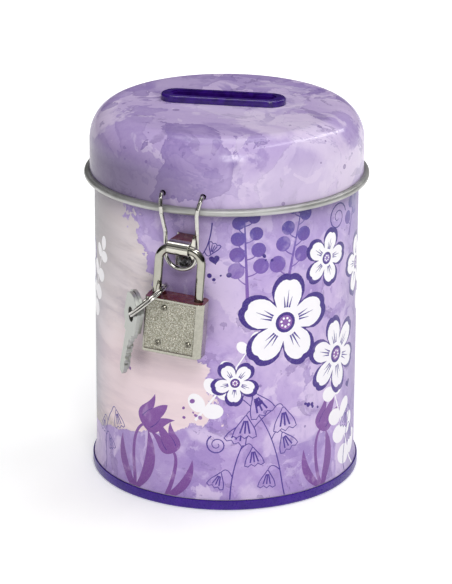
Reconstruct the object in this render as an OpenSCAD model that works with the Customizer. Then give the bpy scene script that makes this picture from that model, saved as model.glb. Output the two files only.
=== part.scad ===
// Tin money box: a drawn steel can with a seamed base, a hinged slip lid with a
// coin slot, and a wire hasp over a riveted staple that a small padlock closes.
// Millimetres, +Z up. The origin is on the can's axis, in the plane of the base rim.
// The hasp and padlock are at -Y, the lid hinge is at +Y.

/* [Can] */
// Outer radius of the can wall
can_r = 42.5; // [42.3:0.1:42.7]
// Thickness of the tinplate
sheet_t = 0.4; // [0.3:0.05:0.45]
// Outer radius of the drawn-in neck that the lid covers
neck_r = 41.0; // [40.6:0.1:41]
// Height of the neck's rim above the base
neck_z = 117.8; // [112:0.2:117.8]
// Outer radius of the seamed base rim
base_r = 43.75; // [43.7:0.05:44.2]
// Height of the base rim
base_h = 3.3; // [3:0.1:3.4]

/* [Lid] */
// Outer radius of the lid's skirt
lid_r = 44.0; // [43.95:0.05:44.1]
// Height of the lid's top panel above the base
lid_z = 122.0; // [122:0.1:123]
// Radius of the curled hem's cross-section
hem_r = 1.12; // [1:0.02:1.14]
// Height of the hem's centre above the base
hem_z = 99.9; // [99.8:0.1:100]
// Width of the rounded shoulder, seen from above
shoulder_w = 9.1; // [8:0.1:9.4]
// Height of the rounded shoulder
shoulder_h = 11.1; // [10:0.1:11.4]

/* [Coin slot] */
// Length of the raised surround
surround_l = 40.5; // [39:0.5:42]
// Width of the raised surround
surround_w = 10.6; // [10.2:0.1:11]
// Height of the surround above the lid
surround_h = 2.1; // [1.8:0.1:2.4]
// Length of the coin opening
slot_l = 33; // [30:0.5:34]
// Width of the coin opening
slot_w = 4.8; // [4:0.1:5]
// Turn of the slot about the vertical
slot_yaw = 8; // [0:1:10]
// Centre of the slot on the lid
slot_at = [-2.2, 2.8];

/* [Hasp] */
// Diameter of the hasp wire
wire_d = 1.3; // [1.2:0.05:1.4]
// Half the distance between the two holes in the lid
hole_dx = 6.5; // [6.2:0.1:6.6]
// Height of the two holes in the lid
hole_z = 104.7; // [104.5:0.1:105]
// Half the width of the wire loop, to the wire's centre
loop_dx = 5.1; // [5:0.1:5.2]
// Sideways place of the loop's bottom
loop_x = 0.5; // [0:0.1:0.5]
// Height of the loop's half-round bottom, to the wire's centre
loop_z = 81.6; // [81.4:0.1:82.2]
// Distance of the staple's eye from the can's axis
eye_y = 51.0; // [51:0.1:51.2]
// Length of the staple's rolled eye
eye_l = 6.8; // [6.4:0.1:6.8]
// Width of the staple's plate on the can
plate_w = 6.0; // [5.6:0.1:6.2]
// Lean of the staple, and of the padlock in it
lean = 4; // [3.5:0.25:4]

/* [Padlock] */
// Width of the padlock case
case_w = 19.0; // [19:0.1:19.2]
// Height of the padlock case
case_h = 18.0; // [18:0.1:18.2]
// Depth of the padlock case
case_d = 7.6; // [7.6:0.1:7.8]
// Sideways place of the padlock in the eye
case_x = 1.5; // [1.4:0.05:1.5]
// Diameter of the shackle rod
rod_d = 2.8; // [2.7:0.05:2.8]
// Half the distance between the shackle's legs, to their centres
leg_dx = 6.85; // [6.85:0.01:6.86]

/* [Keys] */
// Radius of the key ring, to the middle of its wire
ring_r = 7.3; // [7.2:0.1:7.4]
// Diameter of the ring's wire
ring_wire = 0.84; // [0.8:0.02:0.86]
// Thickness of a key
key_t = 1.2; // [1:0.05:1.2]
// Width of a key's bow
bow_w = 11; // [10.8:0.1:11.2]
// Length of a key from the middle of its bow to its tip
key_l = 25; // [22:0.1:25.2]
// Width of a key's blade
blade_w = 3.7; // [3.6:0.1:4.4]

/* [Hidden] */
$fn = 64;

wire_r = wire_d / 2;
rod_r = rod_d / 2;
eye_in = 1.75;              // the eye's inner radius, a running fit on the shackle's bar
eye_out = 2.15;
shelf_z = 92.0;             // top of the staple's shelf
eye_z = shelf_z - eye_out;
hinge_y = 47.9;             // hinge axis, just outside the hem
hinge_z = 98.6;
knuckle_r = 1.65;
pin_r = 0.9;
lid_in = lid_r - sheet_t;
hem_x = lid_in + hem_r - 0.04;
plate_t = 0.5;
lift = 0.05;                // seating gap of a riveted plate
rivet_x = 0.4;
rivet_z = 83.2;
eye_x = 0.75;               // sideways place of the staple's eye
bail_y = -(hem_x + hem_r + 0.8);
case_top = 74;
case_bot = case_top - case_h;
case_y = -eye_y;
bend_r = 4.2;               // radius of the shackle's bends, to the rod's centre
silver = "silver";
steel = [0.72, 0.73, 0.7];

// A cylinder of radius r from point a to point b
module rod(a, b, r) {
    v = b - a;
    l = norm(v);
    translate(a) rotate([0, acos(v[2] / l), atan2(v[1], v[0])]) cylinder(r = r, h = l, $fn = 24);
}

// A wire through the points p, with ball joints at the bends
module wire(p, r) {
    for (i = [0 : len(p) - 2]) rod(p[i], p[i + 1], r);
    for (i = [1 : len(p) - 2]) translate(p[i]) sphere(r = r * 1.04, $fn = 24);
}

// A flat outline with half-round ends, l long and w wide
module stadium(l, w) {
    square([l - w, w], center = true);
    for (s = [-1, 1]) translate([s * (l - w) / 2, 0]) circle(d = w);
}

// A stadium-shaped block whose top edge is rounded with radius r
module soft_stadium(l, w, h, r) {
    linear_extrude(h - r) stadium(l, w);
    linear_extrude(h) stadium(l - 2 * r, w - 2 * r);
    for (s = [-1, 1]) {
        translate([-(l - w) / 2, s * (w / 2 - r), h - r]) rotate([0, 90, 0]) cylinder(r = r, h = l - w);
        translate([s * (l - w) / 2, 0, h - r]) rotate([0, 0, s > 0 ? -90 : 90])
            rotate_extrude(angle = 180) translate([w / 2 - r, 0]) circle(r = r);
    }
}

// A part of a tube about Z between radii r0 and r1, heights z0 and z1, and half-width w across direction a
module curved_plate(r0, r1, z0, z1, w, a) {
    rotate([0, 0, a]) intersection() {
        translate([0, 0, z0]) difference() {
            cylinder(r = r1, h = z1 - z0, $fn = 160);
            translate([0, 0, -1]) cylinder(r = r0, h = z1 - z0 + 2, $fn = 160);
        }
        translate([r0 - 5, -w, z0 - 1]) cube([10, 2 * w, z1 - z0 + 2]);
    }
}

// A coil spring along Z: radius r, wire w, height h, n turns, with a point every 1/12 turn
function coil_pt(r, h, n, k, m) = [r * cos(360 * n * k / m), r * sin(360 * n * k / m), h * k / m];
module coil(r, w, h, n) {
    m = n * 12;
    sides = 6;
    pts = [for (k = [0 : m]) let (p = coil_pt(r, h - w, n, k, m), a = 360 * n * k / m)
           for (j = [0 : sides - 1]) let (b = 360 * j / sides)
           [(r + w / 2 * cos(b)) * cos(a), (r + w / 2 * cos(b)) * sin(a), w / 2 + p[2] + w / 2 * sin(b)]];
    faces = concat(
        [for (k = [0 : m - 1]) for (j = [0 : sides - 1])
            [k * sides + j, (k + 1) * sides + j, (k + 1) * sides + (j + 1) % sides, k * sides + (j + 1) % sides]],
        [[for (j = [0 : sides - 1]) j]],
        [[for (j = [sides - 1 : -1 : 0]) m * sides + j]]);
    polyhedron(points = pts, faces = faces, convexity = 6);
}

// ---- can ----

module can_wall() color([0.80, 0.74, 0.82]) difference() {
    union() {
        rotate_extrude($fn = 160) {
            polygon([[base_r - 0.45, 0.55], [base_r - 0.45, 3.5], [can_r + 0.55, 4.3], [can_r + 0.25, 5.4],
                     [can_r + 0.07, 6.6], [can_r, 7.8], [can_r, 99.4], [can_r - 0.2, 99.9],
                     [neck_r + 0.2, 101.6], [neck_r, 102.1], [neck_r, neck_z - 0.6],
                     [neck_r - sheet_t, neck_z - 0.6], [neck_r - sheet_t, 102.0], [neck_r + 0.2 - sheet_t, 101.4],
                     [can_r - 0.2 - sheet_t, 99.7], [can_r - sheet_t, 99.2], [can_r - sheet_t, 7.7],
                     [can_r + 0.07 - sheet_t, 6.5], [can_r + 0.25 - sheet_t, 5.3], [can_r + 0.55 - sheet_t, 4.2],
                     [base_r - 0.45 - sheet_t, 3.4], [base_r - 0.45 - sheet_t, 0.55]]);
            translate([neck_r - 0.6, neck_z - 0.6]) circle(r = 0.6);
        }
        // lap of the side seam
        rotate([0, 0, 58]) rotate_extrude(angle = 4, $fn = 160)
            translate([can_r - 0.1, 8]) square([0.3, 90.8]);
    }
    // staple rivet
    rivet_hole(1.2);
    // hinge rivets
    for (s = [-1, 1]) rotate([0, 0, 90 + s * 6.2]) translate([can_r - 3, 0, 88]) rotate([0, 90, 0]) cylinder(r = 1, h = 6);
}

module base_end() color([0.28, 0.15, 0.48]) rotate_extrude($fn = 160)
    polygon([[0, 2.2], [28, 2.2], [29.2, 2.6], [base_r - 1.35, 2.6], [base_r - 1.35, 0.5], [base_r - 1.1, 0],
             [base_r - 0.35, 0], [base_r - 0.1, 0.2], [base_r, 0.55], [base_r, base_h - 0.25],
             [base_r - 0.12, base_h - 0.05], [base_r - 0.3, base_h], [base_r - 0.4, base_h - 0.15], [base_r - 0.4, 0.45],
             [base_r - 0.9, 0.45], [base_r - 0.9, 2.75], [base_r - 1.05, 3.0], [29, 3.0], [27.8, 2.6], [0, 2.6]]);

// Leans the staple and what hangs in it about the staple's rivet
module leaning() translate([rivet_x, 0, rivet_z]) rotate([0, lean, 0]) translate([-rivet_x, 0, -rivet_z]) children();

module rivet_hole(r) translate([rivet_x, -can_r - 3, rivet_z]) rotate([-90, 0, 0]) cylinder(r = r, h = 6);

module staple_bracket() color(silver) leaning() difference() {
    union() {
        intersection() {
            curved_plate(can_r + lift, can_r + lift + plate_t, 81.2, shelf_z, plate_w, -90);
            translate([rivet_x - plate_w / 2, -can_r - 5, 80]) cube([plate_w, 10, 20]);
        }
        translate([0, 0, shelf_z - 0.45]) linear_extrude(0.45)
            polygon([[rivet_x - 2.2, -can_r - lift - 0.1], [rivet_x + 2.2, -can_r - lift - 0.1], [eye_x + eye_l / 2, -49.0],
                     [eye_x + eye_l / 2, -eye_y], [eye_x - eye_l / 2, -eye_y], [eye_x - eye_l / 2, -49.0]]);
        translate([eye_x - eye_l / 2, -eye_y, eye_z]) rotate([0, 90, 0]) cylinder(r = eye_out, h = eye_l);
    }
    translate([eye_x - eye_l, -eye_y, eye_z]) rotate([0, 90, 0]) cylinder(r = eye_in, h = 2 * eye_l);
    // the gap where the rolled eye ends under the shelf
    translate([eye_x - eye_l, -eye_y + eye_in - 0.4, shelf_z - 1.35]) cube([2 * eye_l, 1.2, 0.3]);
    rivet_hole(1.2);
}

module staple_rivet() color(silver) translate([rivet_x, -can_r - lift - plate_t - 0.04, rivet_z]) rotate([90, 0, 0])
    rotate_extrude() polygon([[0, 0.10], [0.7, 0.14], [1.15, 0.36], [1.5, 0.76], [1.8, 0.88], [2.05, 0.74], [2.15, 0.4],
                              [2.05, 0], [1.15, 0], [1.15, -1.60], [1.9, -1.60], [1.9, -1.85], [1.6, -2.0], [0, -2.0]]);

module staple_washer() color(steel) translate([rivet_x, -can_r + sheet_t + 0.13, rivet_z]) rotate([-90, 0, 0]) difference() {
    cylinder(r = 2.6, h = 0.46);
    translate([0, 0, -1]) cylinder(r = 1.25, h = 3);
}

// ---- lid hinge ----

module hinge_rivets(r_out, z, l_in) for (s = [-1, 1])
    rotate([0, 0, 90 + s * 6.2]) translate([r_out + 0.02, 0, z]) rotate([0, 90, 0]) rotate_extrude()
        polygon([[0, 0.75], [0.5, 0.7], [1.0, 0.5], [1.35, 0.2], [1.45, 0], [0.95, 0], [0.95, -l_in],
                 [1.45, -l_in], [1.35, -l_in - 0.25], [0.9, -l_in - 0.4], [0, -l_in - 0.45]]);

module hinge_can_leaf() color(silver) difference() {
    union() {
        curved_plate(can_r + lift, can_r + lift + plate_t, 84, 94, 7, 90);
        for (s = [-1, 1]) translate([s * 5.05 - 1.95, 0, 0]) {
            rotate([90, 0, 90]) linear_extrude(3.9)
                polygon([[can_r - 0.1 - 0.35, 92.8], [can_r + plate_t - 0.05, 92.4], [hinge_y + 0.3, hinge_z - knuckle_r + 0.03],
                         [hinge_y - 0.9, hinge_z - 1.2], [can_r - 0.1 - 0.35 + 0.6, 94.2]]);
            translate([0, hinge_y, hinge_z]) rotate([0, 90, 0]) cylinder(r = knuckle_r, h = 3.9);
        }
    }
    translate([0, 0, 80]) cylinder(r = can_r + lift, h = 30, $fn = 160);
    translate([-10, hinge_y, hinge_z]) rotate([0, 90, 0]) cylinder(r = pin_r + 0.05, h = 20);
    for (s = [-1, 1]) rotate([0, 0, 90 + s * 6.2]) translate([can_r - 3, 0, 88]) rotate([0, 90, 0]) cylinder(r = 1, h = 6);
}

module hinge_can_rivets() color(silver) hinge_rivets(can_r + lift + plate_t, 88, lift + plate_t + sheet_t + 0.06);

module hinge_lid_leaf() color(silver) difference() {
    union() {
        curved_plate(lid_r + lift, lid_r + lift + plate_t, 101.8, 110.5, 6.6, 90);
        translate([-2.9, 0, 0]) rotate([90, 0, 90]) linear_extrude(5.8)
            polygon([[lid_r - 0.1, 102.6], [lid_r - 0.1, 101.85], [lid_r + 0.6, 101.8], [hinge_y - 1.2, hinge_z + 1.1],
                     [hinge_y + 0.4, hinge_z + 1.5], [hinge_y - 0.6, hinge_z + 2.2], [lid_r + plate_t, 103.6]]);
        translate([-2.9, hinge_y, hinge_z]) rotate([0, 90, 0]) cylinder(r = knuckle_r, h = 5.8);
    }
    translate([0, 0, 95]) cylinder(r = lid_r + lift, h = 30, $fn = 160);
    translate([-10, hinge_y, hinge_z]) rotate([0, 90, 0]) cylinder(r = pin_r + 0.05, h = 20);
    for (s = [-1, 1]) rotate([0, 0, 90 + s * 6.2]) translate([can_r - 3, 0, 106.5]) rotate([0, 90, 0]) cylinder(r = 1, h = 8);
}

module hinge_lid_rivets() color(silver) hinge_rivets(lid_r + lift + plate_t, 106.5, lift + plate_t + sheet_t + 0.1);

module hinge_pin() color(steel) translate([0, hinge_y, hinge_z]) rotate([0, 90, 0]) {
    translate([0, 0, -7.5]) cylinder(r = pin_r, h = 15);
    for (s = [-1, 1]) translate([0, 0, s * 7.45 - 0.35]) cylinder(r = 1.35, h = 0.7);
}

// ---- lid ----

module lid_shell() color([0.72, 0.63, 0.81]) difference() {
    rotate_extrude($fn = 160) {
        n = 18;
        c = [lid_r - shoulder_w, lid_z - shoulder_h];
        polygon(concat(
            [[lid_in, hem_z], [lid_r, hem_z]],
            [for (i = [0 : n]) let (a = 90 * i / n) c + [shoulder_w * cos(a), shoulder_h * sin(a)]],
            [[0, lid_z], [0, lid_z - sheet_t]],
            [for (i = [n : -1 : 0]) let (a = 90 * i / n) c + [(shoulder_w - sheet_t) * cos(a), (shoulder_h - sheet_t) * sin(a)]]));
        // the hem, curled outwards with its edge turned in
        difference() {
            translate([hem_x, hem_z]) circle(r = hem_r);
            translate([hem_x, hem_z]) circle(r = hem_r - 0.36);
            translate([hem_x - 0.15, hem_z - 2]) square([0.45, 1.5]);
        }
    }
    translate([slot_at[0], slot_at[1], lid_z - 3]) rotate([0, 0, slot_yaw]) linear_extrude(6)
        stadium(slot_l + 3.4, slot_w + 2.9);
    for (s = [-1, 1]) translate([s * hole_dx, -46, hole_z]) rotate([-90, 0, 0]) cylinder(r = wire_r + 0.3, h = 6);
    for (s = [-1, 1]) rotate([0, 0, 90 + s * 6.2]) translate([can_r - 3, 0, 106.5]) rotate([0, 90, 0]) cylinder(r = 1, h = 8);
}

module slot_insert() color([0.24, 0.12, 0.52]) translate([slot_at[0], slot_at[1], lid_z]) rotate([0, 0, slot_yaw])
difference() {
    union() {
        translate([0, 0, 0.01]) soft_stadium(surround_l, surround_w, surround_h, 0.8);
        translate([0, 0, -1.8]) linear_extrude(2) stadium(slot_l + 3.1, slot_w + 2.6);
        // snap lip under the lid
        translate([0, 0, -1.8]) linear_extrude(1.35) stadium(slot_l + 4.6, slot_w + 4.1);
    }
    translate([0, 0, -5]) linear_extrude(10) stadium(slot_l, slot_w);
    translate([0, 0, surround_h - 0.45]) linear_extrude(2) stadium(slot_l + 1.3, slot_w + 1.3);
}

// ---- hasp wire ----

module wire_bail() color(silver) {
    for (s = [-1, 1]) wire([
        [s * hole_dx, -42.3, hole_z + 1.7], [s * hole_dx, -42.3, hole_z], [s * hole_dx, -45.0, hole_z],
        [s * (hole_dx - 0.1), -45.9, hole_z - 0.9], [s < 0 ? -6.2 : 5.75, bail_y, hem_z + 1.3],
        [s < 0 ? -6.0 : 5.45, bail_y, hem_z - 0.8], [loop_x + s * (loop_dx + 0.05), bail_y, hem_z - 6.6],
        [loop_x + s * loop_dx, bail_y, loop_z + loop_dx]], wire_r);
    translate([loop_x, bail_y, loop_z + loop_dx]) rotate([90, 0, 0]) rotate([0, 0, 180])
        rotate_extrude(angle = 180) translate([loop_dx, 0]) circle(r = wire_r, $fn = 24);
}

// ---- padlock ----

module shackle() color(silver) leaning() translate([case_x, case_y, 0]) difference() {
    union() {
        translate([leg_dx, 0, 63.0]) cylinder(r = rod_r, h = eye_z - bend_r - 63.0);
        translate([leg_dx, 0, 62.6]) cylinder(r1 = rod_r - 0.4, r2 = rod_r, h = 0.4);
        translate([-leg_dx, 0, 70.1]) cylinder(r = rod_r, h = eye_z - bend_r - 70.1);
        translate([-leg_dx, 0, 69.7]) cylinder(r1 = rod_r - 0.4, r2 = rod_r, h = 0.4);
        for (s = [0, 1]) mirror([s, 0, 0]) translate([leg_dx - bend_r, 0, eye_z - bend_r])
            rotate([90, 0, 0]) rotate_extrude(angle = 90) translate([bend_r, 0]) circle(r = rod_r);
        translate([-(leg_dx - bend_r), 0, eye_z]) rotate([0, 90, 0]) cylinder(r = rod_r, h = 2 * (leg_dx - bend_r));
    }
    // notch for the latch in the short leg
    translate([-leg_dx + 0.98, -2, 70.3]) cube([2, 4, 2.9]);
}

// The case's outline from above, with softly rounded corners, larger on the right
module case_outline(w, d) {
    rl = 1.1;
    rr = 2.2;
    translate([-w / 2 + rl, -d / 2]) square([w - rl - rr, d]);
    translate([-w / 2, -d / 2 + rl]) square([rl + 0.01, d - 2 * rl]);
    translate([w / 2 - rr - 0.01, -d / 2 + rr]) square([rr + 0.01, d - 2 * rr]);
    for (s = [-1, 1]) {
        translate([-w / 2 + rl, s * (d / 2 - rl)]) circle(r = rl);
        translate([w / 2 - rr, s * (d / 2 - rr)]) circle(r = rr);
    }
}

front = [-8.75, 7.2];       // left and right edges of the front plate, from the case's middle
rivets = [[-3.0, 71.1], [-4.3, 59.4], [5.5, 60.4]];

module padlock_case() color(steel) leaning() translate([case_x, case_y, 0]) difference() {
    translate([0, 0, case_bot]) linear_extrude(case_h) case_outline(case_w, case_d);
    // recess for the front plate
    translate([front[0], -case_d / 2 - 1, case_bot + 1.0]) cube([front[1] - front[0], 1.75, case_h - 1.7]);
    // shackle bores
    translate([leg_dx, 0, 58.5]) cylinder(r = rod_r + 0.06, h = 20);
    translate([-leg_dx, 0, 69.3]) cylinder(r = rod_r + 0.06, h = 10);
    // plug bore, cam space and latch channel
    translate([0, 0, case_bot - 1]) cylinder(r = 3.05, h = 66.0 - case_bot);
    translate([0, 0, 64.9]) cylinder(r = 2.6, h = 8.4);
    translate([-5.95, -1.75, 71.75]) cube([9.95, 4.6, 1.55]);
    for (p = rivets) translate([p[0], -case_d / 2 + 0.1, p[1]]) rotate([-90, 0, 0]) cylinder(r = 0.7, h = 1.2);
}

module padlock_front_plate() color([0.68, 0.69, 0.64]) leaning() translate([case_x, case_y, 0]) difference() {
    translate([front[0] + 0.03, -case_d / 2 + 0.15, case_bot + 1.03])
        cube([front[1] - front[0] - 0.06, 0.6, case_h - 1.76]);
    for (p = rivets) translate([p[0], -case_d / 2 - 0.1, p[1]]) rotate([-90, 0, 0]) cylinder(r = 0.72, h = 2);
}

module padlock_rivets() color(silver) leaning() translate([case_x, case_y, 0])
    for (p = rivets) translate([p[0], -case_d / 2 + 0.13, p[1]]) rotate([90, 0, 0]) rotate_extrude()
        polygon([[0, 0.14], [0.26, 0.16], [0.38, 0.40], [0.60, 0.44], [0.84, 0.26], [0.94, 0], [0.68, 0], [0.68, -1.1], [0, -1.1]]);

module shackle_spring() color(steel) leaning() translate([case_x + leg_dx, case_y, 58.55]) coil(0.85, 0.4, 3.95, 4);

module latch_spring() color(steel) leaning() translate([case_x + 0.65, case_y + 1.5, 72.5]) rotate([0, 90, 0]) coil(0.42, 0.2, 3.3, 5);

module lock_plug() color([0.78, 0.70, 0.45]) leaning() translate([case_x, case_y, 0]) difference() {
    union() {
        translate([0, 0, case_bot + 0.05]) cylinder(r = 3.0, h = 8.75);
        translate([-1.7, 0, 64.5]) cylinder(r = 0.6, h = 8.4);
    }
    translate([-0.7, -2.4, case_bot - 1]) cube([1.4, 4.8, 8]);
}

module latch_bolt() color([0.78, 0.70, 0.45]) leaning() translate([case_x, case_y, 0]) difference() {
    translate([-5.81, -1.6, 71.9]) cube([6.4, 4.3, 1.2]);
    // slot for the plug's cam
    translate([-2.85, -0.85, 71]) cube([2.3, 5, 3]);
    // the nose is narrower than the tail
    translate([-6.5, 1.5, 71]) cube([2.6, 3, 3]);
}

// ---- ring and keys ----

ring_at = [-8.1, -52.6, 72.6];
ring_tilt = -42.5;

// The point of the ring at angle a behind its left end
function ring_pt(a) = let (u = -ring_r * cos(a), v = ring_r * sin(a))
    ring_at + [u * cos(ring_tilt), v, -u * sin(ring_tilt)];

module key_ring() color(silver) translate(ring_at) rotate([0, ring_tilt, 0]) rotate_extrude($fn = 96)
    for (s = [-1, 1]) translate([ring_r, s * 0.39]) circle(d = ring_wire, $fn = 24);

// A key in the XZ plane, its face to -Y, the middle of its bow at the origin and its blade down
module flat_key() rotate([90, 0, 0]) translate([0, 0, -key_t / 2]) linear_extrude(key_t) difference() {
    union() {
        intersection() {
            circle(r = 7);
            square([bow_w, 20], center = true);
        }
        translate([-3.4, -8.6]) square([6.8, 6]);
        polygon([[-blade_w / 2, -4.4], [-blade_w / 2, -key_l + 1.6], [-1.0, -key_l], [0.9, -key_l],
                 [blade_w / 2, -key_l + 1.6], [blade_w / 2, -4.4]]);
    }
    circle(r = 2.4);
    // bitting along one edge of the blade
    for (c = [[-12.6, 0.9, 0.9], [-14.9, 1.2, 0.6], [-17.2, 0.8, 1.1], [-19.6, 1.2, 0.8]])
        translate([blade_w / 2 + 0.3, c[0]]) polygon([[0.6, c[1] + 0.9], [-c[2], c[1] * 0.45], [-c[2], -c[1] * 0.45], [0.6, -c[1] - 0.9]]);
}

// A key's face looks to the left and front, turned 52 degrees, and its blade leans back by t;
// the hole's middle is s along the key's width and d above the ring's wire at p
module key_at(p, s, d, t) translate(p) rotate([0, 0, -52]) translate([s, 0, d]) rotate([0, t, 0]) flat_key();

module key_1() color([0.66, 0.68, 0.67]) key_at(ring_pt(0), 0.15, -0.3, 24);
module key_2() color([0.62, 0.64, 0.63]) key_at(ring_pt(17), 0.25, -0.45, 25.5);

can_wall();
base_end();
staple_bracket();
staple_rivet();
staple_washer();
hinge_can_leaf();
hinge_can_rivets();
hinge_pin();
lid_shell();
slot_insert();
hinge_lid_leaf();
hinge_lid_rivets();
wire_bail();
shackle();
padlock_case();
padlock_front_plate();
padlock_rivets();
shackle_spring();
latch_spring();
lock_plug();
latch_bolt();
key_ring();
key_1();
key_2();
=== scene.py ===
import math
import random

import bmesh
import bpy
from mathutils import Matrix, Vector
from mathutils.geometry import delaunay_2d_cdt


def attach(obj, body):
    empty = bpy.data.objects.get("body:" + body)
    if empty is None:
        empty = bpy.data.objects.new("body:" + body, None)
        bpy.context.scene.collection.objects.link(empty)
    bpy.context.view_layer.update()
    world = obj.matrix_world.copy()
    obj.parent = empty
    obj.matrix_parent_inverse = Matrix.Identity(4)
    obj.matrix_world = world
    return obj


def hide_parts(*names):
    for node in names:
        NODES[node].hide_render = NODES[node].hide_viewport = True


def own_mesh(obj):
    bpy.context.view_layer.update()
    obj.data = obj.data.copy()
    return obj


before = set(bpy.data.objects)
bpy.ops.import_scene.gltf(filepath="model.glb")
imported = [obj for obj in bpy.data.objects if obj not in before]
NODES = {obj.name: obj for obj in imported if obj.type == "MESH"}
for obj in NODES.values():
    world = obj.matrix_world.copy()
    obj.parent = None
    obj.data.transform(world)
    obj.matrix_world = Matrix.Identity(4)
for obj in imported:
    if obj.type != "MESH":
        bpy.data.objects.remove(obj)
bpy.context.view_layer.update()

MM = 0.001
scene = bpy.context.scene


# ------------------------------------------------------------------ helpers
def lin(hexcode):
    """A hex colour as linear RGBA."""
    h = hexcode.lstrip("#")
    out = []
    for i in (0, 2, 4):
        c = int(h[i:i + 2], 16) / 255.0
        out.append(c / 12.92 if c <= 0.04045 else ((c + 0.055) / 1.055) ** 2.4)
    return (out[0], out[1], out[2], 1.0)


def scaled(c, k):
    return (c[0] * k, c[1] * k, c[2] * k, 1.0)


def new_mat(name):
    m = bpy.data.materials.new(name)
    m.use_nodes = True
    nt = m.node_tree
    nt.nodes.clear()
    out = nt.nodes.new("ShaderNodeOutputMaterial")
    bsdf = nt.nodes.new("ShaderNodeBsdfPrincipled")
    nt.links.new(bsdf.outputs["BSDF"], out.inputs["Surface"])
    return m, nt, bsdf


def put(nt, socket, value):
    if isinstance(value, bpy.types.NodeSocket):
        nt.links.new(value, socket)
    elif value is not None:
        socket.default_value = value


def coords(nt, scale=(1000.0, 1000.0, 1000.0)):
    """The object's own coordinates in millimetres."""
    tc = nt.nodes.new("ShaderNodeTexCoord")
    mp = nt.nodes.new("ShaderNodeMapping")
    mp.inputs["Scale"].default_value = scale
    nt.links.new(tc.outputs["Object"], mp.inputs["Vector"])
    return mp.outputs["Vector"]


def shift(nt, vec, loc=(0, 0, 0), rot=(0, 0, 0), scale=(1, 1, 1)):
    mp = nt.nodes.new("ShaderNodeMapping")
    mp.inputs["Location"].default_value = loc
    mp.inputs["Rotation"].default_value = rot
    mp.inputs["Scale"].default_value = scale
    nt.links.new(vec, mp.inputs["Vector"])
    return mp.outputs["Vector"]


def noise(nt, vec, scale, detail=4.0, rough=0.55, dist=0.0):
    n = nt.nodes.new("ShaderNodeTexNoise")
    n.inputs["Scale"].default_value = scale
    n.inputs["Detail"].default_value = detail
    n.inputs["Roughness"].default_value = rough
    n.inputs["Distortion"].default_value = dist
    nt.links.new(vec, n.inputs["Vector"])
    return n.outputs["Fac"]


def voronoi(nt, vec, scale, feature="F1", rand=1.0):
    n = nt.nodes.new("ShaderNodeTexVoronoi")
    n.feature = feature
    n.inputs["Scale"].default_value = scale
    n.inputs["Randomness"].default_value = rand
    nt.links.new(vec, n.inputs["Vector"])
    return n


def step(nt, v, a, b, lo=0.0, hi=1.0, smooth=True):
    n = nt.nodes.new("ShaderNodeMapRange")
    n.interpolation_type = "SMOOTHSTEP" if smooth else "LINEAR"
    n.clamp = True
    nt.links.new(v, n.inputs["Value"])
    n.inputs["From Min"].default_value = a
    n.inputs["From Max"].default_value = b
    n.inputs["To Min"].default_value = lo
    n.inputs["To Max"].default_value = hi
    return n.outputs["Result"]


def math_(nt, op, a, b=0.0, c=0.0, clamp=False):
    n = nt.nodes.new("ShaderNodeMath")
    n.operation = op
    n.use_clamp = clamp
    put(nt, n.inputs[0], a)
    put(nt, n.inputs[1], b)
    put(nt, n.inputs[2], c)
    return n.outputs[0]


def mix(nt, fac, a, b, mode="MIX"):
    n = nt.nodes.new("ShaderNodeMix")
    n.data_type = "RGBA"
    n.blend_type = mode
    n.clamp_factor = True
    put(nt, n.inputs[0], fac)
    put(nt, n.inputs[6], a)
    put(nt, n.inputs[7], b)
    return n.outputs[2]


def xyz(nt, vec):
    n = nt.nodes.new("ShaderNodeSeparateXYZ")
    nt.links.new(vec, n.inputs[0])
    return n.outputs


def bump(nt, bsdf, height, strength, dist):
    b = nt.nodes.new("ShaderNodeBump")
    b.inputs["Strength"].default_value = strength
    b.inputs["Distance"].default_value = dist
    nt.links.new(height, b.inputs["Height"])
    nt.links.new(b.outputs["Normal"], bsdf.inputs["Normal"])


def crevice(nt, dist, samples=5):
    """How open the surface is within dist mm: 1 in the open, towards 0 in a corner or close under another part."""
    n = nt.nodes.new("ShaderNodeAmbientOcclusion")
    n.samples = samples
    n.inputs["Distance"].default_value = dist * MM
    return n.outputs["AO"]


def finish_mesh(name, me, body, mats, replaces=(), sharp=35.0):
    ob = bpy.data.objects.new(name, me)
    scene.collection.objects.link(ob)
    for m in mats:
        me.materials.append(m)
    for p in me.polygons:
        p.use_smooth = True
    if sharp:
        me.set_sharp_from_angle(angle=math.radians(sharp))
    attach(ob, body)
    if replaces:
        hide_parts(*replaces)
    return ob


def lathe_into(bm, prof, thetas, mat_of, closed=True):
    """Turns a profile of (r, z) in mm about Z at the angles given. mat_of(i) is the material of the strip after point i."""
    rings = []
    for r, z in prof:
        if r < 1e-6:
            rings.append([bm.verts.new((0, 0, z * MM))])
        else:
            rings.append([bm.verts.new((r * math.sin(t) * MM, -r * math.cos(t) * MM, z * MM)) for t in thetas])
    n = len(thetas)
    last = len(prof) if closed else len(prof) - 1
    for i in range(last):
        a, b = rings[i], rings[(i + 1) % len(prof)]
        for k in range(n):
            k2 = (k + 1) % n
            if len(a) == 1 and len(b) == 1:
                continue
            if len(a) == 1:
                f = bm.faces.new((a[0], b[k2], b[k]))
            elif len(b) == 1:
                f = bm.faces.new((a[k], a[k2], b[0]))
            else:
                f = bm.faces.new((a[k], a[k2], b[k2], b[k]))
            f.material_index = mat_of(i)
    return rings


def arc(cx, cz, r, a0, a1, n):
    return [(cx + r * math.cos(math.radians(a0 + (a1 - a0) * i / n)),
             cz + r * math.sin(math.radians(a0 + (a1 - a0) * i / n))) for i in range(n + 1)]


# ------------------------------------------------------------------ materials
LIGHT = lin("#DCCAEA")
MID = lin("#B49AD3")
DEEP = lin("#967CC0")
PLUM = lin("#735A9E")


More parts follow.
